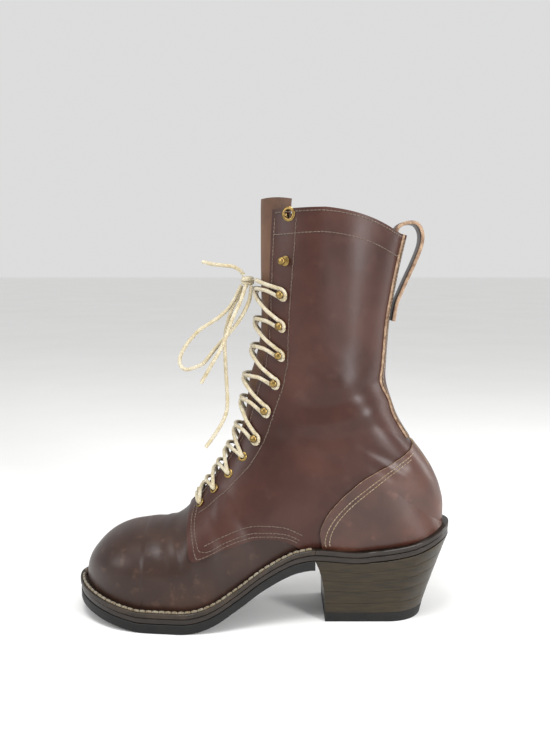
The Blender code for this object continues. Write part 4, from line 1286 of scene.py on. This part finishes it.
stripLow = max(z for _, z in counterOutline()) + clearance
stripHigh = collarHeight + outlineSpare
stripFront = onUpper(0.26)  # ahead of the strip's edges all the way up
stripBack = heelBack + outlineSpare
strip = [(stripFront, stripLow), (stripBack, stripLow), (stripBack, stripHigh),
         (stripFront, stripHigh)]
stripMesh = shell("backstay_shell", layer(grid, overlayLift + backstayThickness), under)
stripSide = outlinePrism("stripOutline", strip, backstayWidth / 2)
stripMesh = cutMesh(stripMesh, stripSide, "INTERSECT")
backstayPiece = addPiece("back_strip", stripMesh, upperLeather, ("backstay",),
                         shellAngle)
print("upper, counter and back strip made")


def markFaces(piece, materials, choose):
    # Gives each face the material that its place and facing ask for
    mesh = piece.data
    mesh.materials.clear()
    for each in materials:
        mesh.materials.append(each)
    for face in mesh.polygons:
        face.material_index = choose(face.center, face.normal)


gridPlaces = [item for _, line in grid for item in line]
gridTree = kdOf([point for point, _ in gridPlaces])


def lean(centre, normal):
    # 1 on the outside, -1 on the flesh side and about 0 on a cut edge
    return normal.dot(gridPlaces[gridTree.find(centre)[1]][1])


bareSide = vampOutline()


def insideLine(x, z, outline):
    # Whether the place lies within an outline, by counting its crossings
    inside = False
    for (ax, az), (bx, bz) in zip(outline, outline[1:] + outline[:1]):
        if (az > z) != (bz > z) and x < ax + (z - az) / (bz - az) * (bx - ax):
            inside = not inside
    return inside


def upperFace(centre, normal):
    # The quarters, the vamp or the flesh side
    if lean(centre, normal) < fleshLean:
        return 2
    return 1 if insideLine(centre.x, centre.z, bareSide) else 0


def overlayFace(centre, normal):
    # The grain side or the cut edge
    return 1 if abs(lean(centre, normal)) < edgeLean else 0


fleshLean = -0.3
edgeLean = 0.45
markFaces(upperPiece, (upperLeather, vampLeather, liningLeather), upperFace)
markFaces(counterPiece, (counterLeather, rawEdge), overlayFace)
markFaces(backstayPiece, (upperLeather, rawEdge), overlayFace)


# Tongue, sole and heel

tongueShape = dict(rows=60, columns=20, widening=0.8, cornerDrop=0.35, start=1.0)


def tongueMesh(look):
    # A strip under the throat, from under the vamp to over the collar
    outside = -wall - tonguePlay
    start = vampPoint - look["start"]
    rows, columns = look["rows"], look["columns"]
    layers = []
    for distance in (outside, outside - tongueThickness):
        lines = []
        for i in range(rows + 1):
            v = i / rows
            width = tongueFootWidth + (tongueTopWidth - tongueFootWidth) * v ** look["widening"]
            line = []
            for k in range(-columns // 2, columns // 2 + 1):
                w = 2 * k / columns
                top = len(sectionRows) - 1 - look["cornerDrop"] * w ** 4
                row = start + (top - start) * v
                t = acrossFromRidge(section(row), abs(w) * width / 2, math.copysign(1, w))
                point, facing = surface(row, math.copysign(max(t, 1e-9), w or 1))
                if k == 0:
                    facing = inPlane(facing)
                line.append(point + facing * distance)
            lines.append(line)
        layers.append(lines)
    return loft("boot_tongue", [outer + inner[::-1] for outer, inner in zip(*layers)])


addPiece("boot_tongue", tongueMesh(tongueShape), tongueLeather, ("tongue",), 40)


def solePlate(name, start, stop, frontInset, backInset, low, high):
    # A layer of the sole between two heights over its top, with a softly rounded edge
    front = max(start, toeTip + frontInset)
    back = min(stop, heelBack - backInset)
    count = 150
    places = [front + (back - front) * k / count for k in range(count + 1)]
    for end, way in ((front, 1), (back, -1)):  # nearer together where the outline turns
        places += [end + way * turnReach * (k / 12) ** 2 * 0.5 for k in range(1, 12)]
    places = sorted(set(round(x, 6) for x in places))
    rim = min(soleRim, (high - low) / 4)
    rings = []
    for x in places:
        outer, inner = edges(x, frontInset, backInset)
        half = (inner - outer) / 2
        pull = min(rim, half)
        bottom = soleTop(x) + low
        top = soleTop(x) + high
        corners = ((outer + pull, bottom), (inner - pull, bottom), (inner, bottom + rim),
                   (inner, top - rim), (inner - pull, top), (outer + pull, top),
                   (outer, top - rim), (outer, bottom + rim))
        rings.append([Vector((x, y, z)) for y, z in corners])
    return loft(name, rings)


beyond = 1.0  # past either end of the sole
turnReach = 0.012
soleRim = 0.0006
midsoleLow = outsoleThickness - stack
weltLow = -weltThickness
insoleInset = wall + insolePlay
hole = solePlate("ringHole", -beyond, beyond, ringWidth, ringWidth, -0.03, 0.03)
# name, node, material, slot, whether it is a ring, then what solePlate takes
soleLayers = (
    ("rubber_outsole", "outsole", soleRubber, "black_rubber", False,
     -beyond, breast, 0.0006, 0, -stack, midsoleLow),
    ("leather_midsole", "midsole", midsoleLeather, "sole_leather", False,
     -beyond, beyond, 0.0010, 0.0004, midsoleLow + clearance, weltLow),
    ("stitched_welt", "welt", weltLeather, "sole_leather", True,
     -beyond, breast - clearance, 0, 0, weltLow + clearance, 0),
    ("seat_rand", "heel_rand", midsoleLeather, "sole_leather", True,
     breast, beyond, 0, 0, weltLow + clearance, 0),
    ("insole_board", "insole", insoleLeather, "insole_leather", False,
     -beyond, beyond, weltMargin + insoleInset, seatMargin + insoleInset,
     clearance, insoleThickness),
)
for name, nodeName, material, slotName, isRing, *sizes in soleLayers:
    mesh = solePlate(name, *sizes)
    if isRing:
        mesh = cutMesh(mesh, hole, "DIFFERENCE")
    addPiece(name, mesh, material, (nodeName,), 30)

# Places along the heel from the breast to the back, nearer together at the round back
liftShares = [0.0, 0.08, 0.16, 0.25, 0.33, 0.42]
liftShares += [0.5 + 0.5 * math.sin(math.pi / 2 * k / 26) for k in range(27)]
liftRim = 0.00018
liftGap = 0.00003
for k in range(len(liftSeams) - 1):
    rings = []
    lowShare, highShare = liftSeams[k], liftSeams[k + 1]
    for u in liftShares:
        corners = []
        rim = liftRim
        for share, shift, pull in ((lowShare, 0.0, rim), (lowShare, rim, 0),
                                   (highShare, -rim - liftGap, 0), (highShare, -liftGap, rim)):
            x, half = heelOutline(share, u)
            half = max(half - pull, 0)
            corners.append((x, half, seatUnderside(x) * share + shift))
        ring = [Vector((x, -half, z)) for x, half, z in corners]
        ring += [Vector((x, half, z)) for x, half, z in corners[::-1]]
        rings.append(ring)
    name = "heel_top_piece" if k == 0 else f"heel_layer_{k}"
    nodeName = "top_lift" if k == 0 else f"heel_lift_{k}"
    material = soleRubber if k == 0 else stackLeather
    slotName = "black_rubber" if k == 0 else "sole_leather"
    addPiece(name, loft(name, rings), material, (nodeName,), 35)
print("sole and heel made")


# Pull loop

def backOfUpper(z):
    cuts = [section(row)["end"] for row in range(heelRow, len(sectionRows))]
    return float(np.interp(z, [cut[1] for cut in cuts], [cut[0] for cut in cuts]))


loopTop = collarHeight - collarDrop
loopMiddle = [Vector((backOfUpper(loopTop + up) + out, loopTop + up)) for _, up, out in loopRows]
loopLine = roundedRoute(loopMiddle, 8)
# Round the strap's section: shares of half its width and of half its thickness
strapCorners = ((-1, -0.55), (-0.95, -0.95), (-0.5, -1), (0, -1), (0.5, -1), (0.95, -0.95),
                (1, -0.55), (1, 0.55), (0.95, 0.95), (0.5, 1), (0, 1), (-0.5, 1),
                (-0.95, 0.95), (-1, 0.55))
loopRings = []
for k, point in enumerate(loopLine):
    along = (loopLine[min(k + 1, len(loopLine) - 1)] - loopLine[max(k - 1, 0)]).normalized()
    across = Vector((along.y, -along.x))
    half = strapThickness / 2
    wide = strapWidth / 2
    ring = []
    for w, h in strapCorners:
        flat = point + across * half * h
        ring.append(Vector((flat.x, wide * w, flat.y)))
    loopRings.append(ring)
pullMesh = loft("leather_pull_loop", loopRings)
pullPiece = addPiece("leather_pull_loop", pullMesh, upperLeather, ("pull_loop",), 50)
strapEdge = strapWidth / 2 * 0.97
markFaces(pullPiece, (upperLeather, rawEdge), lambda centre, _: int(abs(centre.y) > strapEdge))


# Eyelets and hooks

def eyeletProfile(hole, flange):
    depth = wall + quarterThickness
    outer = hole + eyeletBarrel
    top = flangeThickness
    # Radius and height, from inside the hole over the flange and down the barrel
    return ((hole, -depth), (hole, top * 0.45), (hole + 0.0003, top * 0.85),
            (outer + 0.0005, top), (flange * 0.86, top * 0.85), (flange * 0.97, top * 0.55),
            (flange, clearance), (outer, clearance), (outer, -depth))


# A hook from its top down: radius as a share of a part's own, and share of the height
hookProfile = [(radius * share, hookHeight * up) for radius, share, up in (
    (0, 1, 1), (hookBall, 0.45, 0.985), (hookBall, 0.78, 0.93), (hookBall, 0.96, 0.84),
    (hookBall, 1, 0.75), (hookBall, 0.95, 0.65), (hookBall, 0.75, 0.57), (hookNeck, 1.1, 0.51),
    (hookNeck, 1, 0.45), (hookNeck, 1, 0.22), (hookNeck, 1.5, 0.15), (hookBase, 0.85, 0.13),
    (hookBase, 1, 0.07), (hookBase, 1, 0), (0, 1, 0))]


def addBrass(kind, number, sideName, mesh, place, lift):
    # One turned piece of brass, standing on the quarters
    mesh.transform(seat(*surface(*place), lift))
    nodeName = f"{kind}_{number}_{sideName}"
    addPiece("brass_" + nodeName, mesh, agedBrass, (nodeName,), 50)


for sideName, side in (("lateral", -1), ("medial", 1)):
    for k in range(eyeletCount):
        ring = turnedMesh("ring", eyeletProfile(eyeletHole, eyeletFlange), 28, True)
        addBrass("eyelet", k + 1, sideName, ring, eyeletPlace(k, side), quarterThickness)
    ring = turnedMesh("ring", eyeletProfile(topEyeletHole, topEyeletFlange), 32, True)
    addBrass("eyelet", "top", sideName, ring, topEyeletPlace(side), quarterThickness)
    for k in range(hookCount):
        hook = turnedMesh("hook", hookProfile, 24, False)
        place = hookPlace(k, side)
        addBrass("hook", k + 1, sideName, hook, place, quarterThickness + clearance)
print("eyelets and hooks made")


# Lace between the sides

def raised(place, height):
    point, facing = surface(*place)
    return point + facing * (quarterThickness + height)


neckGap = 0.0002
laceOnHook = 0.33  # share of the hook's height


def endOfLace(level, sideIndex, goingUp):
    # The lace goes into its eyelet, or half way round its hook
    side = (-1, 1)[sideIndex]
    way = 1 if goingUp else -1
    if level < eyeletCount:
        # Distance ahead of the hole, share of the way to the next crossing, and height
        steps = ((0.0045, 0.7, laceRadius * 1.1), (0.0012, 0.25, laceRadius * 0.9),
                 (0, 0, -0.0012), (0, 0, -0.0036))
        return [raised(eyeletPlace(level, side, eyeletInset - ahead, way * apart * share), up)
                for ahead, share, up in steps]
    reach = hookNeck + laceRadius + neckGap
    steps = ((-0.9, 0.9), (0, 1), (0.72, 0.72), (1, 0))  # round the neck, as shares of reach
    return [raised(hookPlace(level - eyeletCount, side, hookInset + reach * back,
                             way * reach * up), hookHeight * laceOnHook)
            for back, up in steps]


def laceLine(middle, fromLevel, fromSide, fromWay, toLevel, toSide, toWay):
    start = endOfLace(fromLevel, fromSide, fromWay)[::-1]
    finish = endOfLace(toLevel, toSide, toWay)
    return roundedRoute(start + middle + finish, 5)


def addLace(name, lines, nodeName):
    mesh = meshOf(name, [tube(line, laceRadius) for line in lines])
    addPiece(name, mesh, laceBraid, (nodeName,), 80)


levelCount = eyeletCount + lacedHooks
rideOver = dict(shift=Vector((-0.0020, 0, 0.0008)), reach=0.10)
barLine = laceLine(laceStretch(*outerEnds[0])[1:-1], 0, 0, False, 0, 1, False)
addLace("lace_lowest_bar", [barLine], "lace_bar")
for k in range(levelCount - 1):
    start = innerEnds[k]
    finish = outerEnds[k + 1]
    first = laceLine(laceStretch(start[0], finish[1])[1:-1], k, 0, True, k + 1, 1, False)
    second = laceLine(laceStretch(finish[0], start[1])[1:-1], k + 1, 0, False, k, 1, True)
    lifted = []
    for j, point in enumerate(first):  # one strand rides over the other where they cross
        u = j / (len(first) - 1)
        lift = math.exp(-((u - 0.5) / rideOver["reach"]) ** 2)
        lifted.append(point + rideOver["shift"] * lift)
    addLace(f"lace_crossing_{k + 1}", [lifted, second], f"lace_cross_{k + 1}")
tieLine = laceLine(tiePoints[1:-1], levelCount - 1, 0, True, levelCount - 1, 1, True)
addLace("lace_top_tie", [tieLine], "lace_tie")
print("laces made")


# Stitching

graph = bpy.context.evaluated_depsgraph_get()
trees = [BVHTree.FromObject(each, graph) for each in (upperPiece, counterPiece, backstayPiece)]
fineStitch = dict(pitch=0.0030, fill=0.78, thread=0.00042)
weltStitch = dict(pitch=0.0052, fill=0.86, thread=0.00115)
facingSeams = dict(insets=(0.0030, 0.0225), start=0.002, stop=0.2475, steps=120)
collarSeam = dict(offsets=(0.0036, 0.0200), start=0.02, stop=0.96, steps=140)
stripSeam = dict(inset=0.0025, first=3.2, last=0.15, steps=89)
weltSeam = dict(inset=0.0030, back=0.003, crowding=1.8, steps=260)
seamLift = 0.0001

# Lines of the seams on each side, in millimetres of x and z
vampSeams = (
    ((-149.6, 95.0), (-151.2, 88.0), (-150.8, 80.0), (-149.0, 72.0), (-147.2, 64.0),
     (-144.4, 60.5), (-136.0, 63.2), (-125.0, 68.0), (-113.4, 72.4), (-101.8, 74.9),
     (-94.0, 75.2), (-82.4, 74.5), (-72.5, 72.5), (-64.7, 68.6)),
    ((-147.0, 96.0), (-148.4, 88.0), (-148.0, 80.0), (-146.0, 72.0), (-143.6, 66.5),
     (-136.0, 66.0), (-125.0, 71.0), (-113.4, 75.4), (-101.8, 78.0), (-94.0, 78.3),
     (-82.4, 77.6), (-72.5, 75.6), (-62.7, 70.6)),
    ((-140.0, 70.0), (-125.0, 76.6), (-113.4, 81.0), (-101.8, 83.6), (-94.0, 84.0),
     (-82.4, 83.2), (-72.5, 81.0), (-60.7, 75.0)),
)
counterSeams = (
    ((30.0, 141.0), (12.0, 129.6), (-7.0, 115.6), (-17.4, 107.2), (-27.6, 97.4),
     (-35.6, 87.6), (-40.4, 78.0), (-42.2, 69.6), (-41.2, 64.8)),
    ((28.0, 136.6), (12.0, 126.4), (-5.2, 113.2), (-15.4, 104.8), (-25.2, 95.4),
     (-32.6, 86.0), (-37.0, 77.0), (-38.6, 69.0), (-37.8, 65.4)),
)


def addSeam(name, parts, material):
    addPiece(name, meshOf(name, parts), material, (), 80)


for name, lines, material in (("vamp_stitching", vampSeams, darkThread),
                              ("counter_stitching", counterSeams, threadTwist)):
    parts = []
    for side in (-1, 1):
        for line in lines:
            places, facings = onSide(trees, fineLine(line), side)
            if len(places) > 2:
                parts += stitches(places, facings, fineStitch)
    addSeam(name, parts, material)


def facingSeam(look, inset, side):
    # A seam along the throat's edge
    line = []
    facings = []
    start, steps = look["start"], look["steps"]
    for k in range(steps + 1):
        distance = start + (look["stop"] - start) * k / steps
        point, facing = surface(*facingPlace(distance, inset, side))
        point = point - facing * dent(point)
        line.append(point + facing * (quarterThickness + seamLift))
        facings.append(facing)
    return line, facings


parts = []
for side in (-1, 1):
    for inset in facingSeams["insets"]:
        parts += stitches(*facingSeam(facingSeams, inset, side), fineStitch)
addSeam("facing_stitching", parts, darkThread)

parts = []
for side in (-1, 1):
    for offset in collarSeam["offsets"]:
        line = []
        facings = []
        start = throatEdge(section(collarRow), side) + collarSeam["start"]
        for k in range(collarSeam["steps"] + 1):
            t = start + (collarSeam["stop"] - start) * k / collarSeam["steps"]
            stretch = surface(collarRow, side * t)[0] - surface(collarRow - 1, side * t)[0]
            point, facing = surface(collarRow - offset / stretch.length, side * t)
            line.append(point + facing * (quarterThickness + seamLift - dent(point)))
            facings.append(facing)
        parts += stitches(line, facings, fineStitch)
addSeam("collar_stitching", parts, darkThread)

parts = []
for edge in (-1, 1):
    line = []
    facings = []
    first, last = stripSeam["first"], stripSeam["last"]
    for k in range(stripSeam["steps"] + 1):
        row = heelRow + first + (collarRow - last - heelRow - first) * k / stripSeam["steps"]
        y = edge * (backstayWidth / 2 - stripSeam["inset"])
        t = 1 - math.asin(min(abs(y) / section(row)["half"], 1)) / math.pi
        point, facing = surface(row, edge * t)
        lift = overlayLift + backstayThickness + seamLift - dent(point)
        line.append(point + facing * lift)
        facings.append(facing)
    parts += stitches(line, facings, fineStitch)
addSeam("back_strip_stitching", parts, threadTwist)

# The lock stitches on the welt, about 5 mm apart, near its edge
weltInset = weltSeam["inset"]
parts = []
for edge in (0, 1):
    line = []
    for k in range(weltSeam["steps"] + 1):
        share = (k / weltSeam["steps"]) ** weltSeam["crowding"]
        x = toeTip + weltInset + seamLift + (breast - weltSeam["back"] - toeTip - weltInset) * share
        y = edges(x, weltInset, weltInset)[edge]
        line.append(Vector((x, y, soleTop(x))))
    facings = [Vector((0, 0, 1))] * len(line)
    parts += stitches(line, facings, weltStitch)
addSeam("welt_stitching", parts, weltThread)
print("stitching made")


# Studio

floorLook = dict(dark="f2f2f1", light="f6f6f5", scale=2.0, rough=0.85, fineScale=30.0,
                 bump=0.02)
floorHalf = 20
floorMesh = bpy.data.meshes.new("floor")
floorCorners = [(x * floorHalf, y * floorHalf, 0) for x, y in ((-1, -1), (1, -1), (1, 1), (-1, 1))]
floorMesh.from_pydata(floorCorners, [], [(0, 1, 2, 3)])
floorMesh.materials.append(plainMaterial("matte_white_paper", floorLook))
linked("floor", floorMesh)

# name, place, aim, width and height, power
lights = (
    ("topSoftbox", (-0.25, -0.35, 1.15), (-0.10, 0, 0.10), (0.55, 0.45), 7.0),
    ("keySoftbox", (0.75, -0.95, 0.50), (0.0, 0, 0.20), (0.30, 0.80), 13.5),
    ("leftFill", (-1.1, -0.5, 0.6), (-0.1, 0, 0.12), (0.4, 0.6), 4.0),
    ("rightFill", (1.0, 0.25, 0.5), (0, 0, 0.15), (0.3, 0.8), 4.0),
)
for name, place, target, size, power in lights:
    data = bpy.data.lights.new(name, "AREA")
    data.shape = "RECTANGLE"
    data.size, data.size_y = size
    data.energy = power
    light = linked(name, data)
    light.location = place
    aim = Vector(target) - Vector(place)
    light.rotation_euler = aim.to_track_quat("-Z", "Y").to_euler()

world = bpy.data.worlds.new("studio")
world.use_nodes = True
background = world.node_tree.nodes["Background"]
background.inputs["Color"].default_value = (1, 1, 1, 1)
background.inputs["Strength"].default_value = 0.72
bpy.context.scene.world = world
bpy.context.scene.view_settings.view_transform = "Standard"
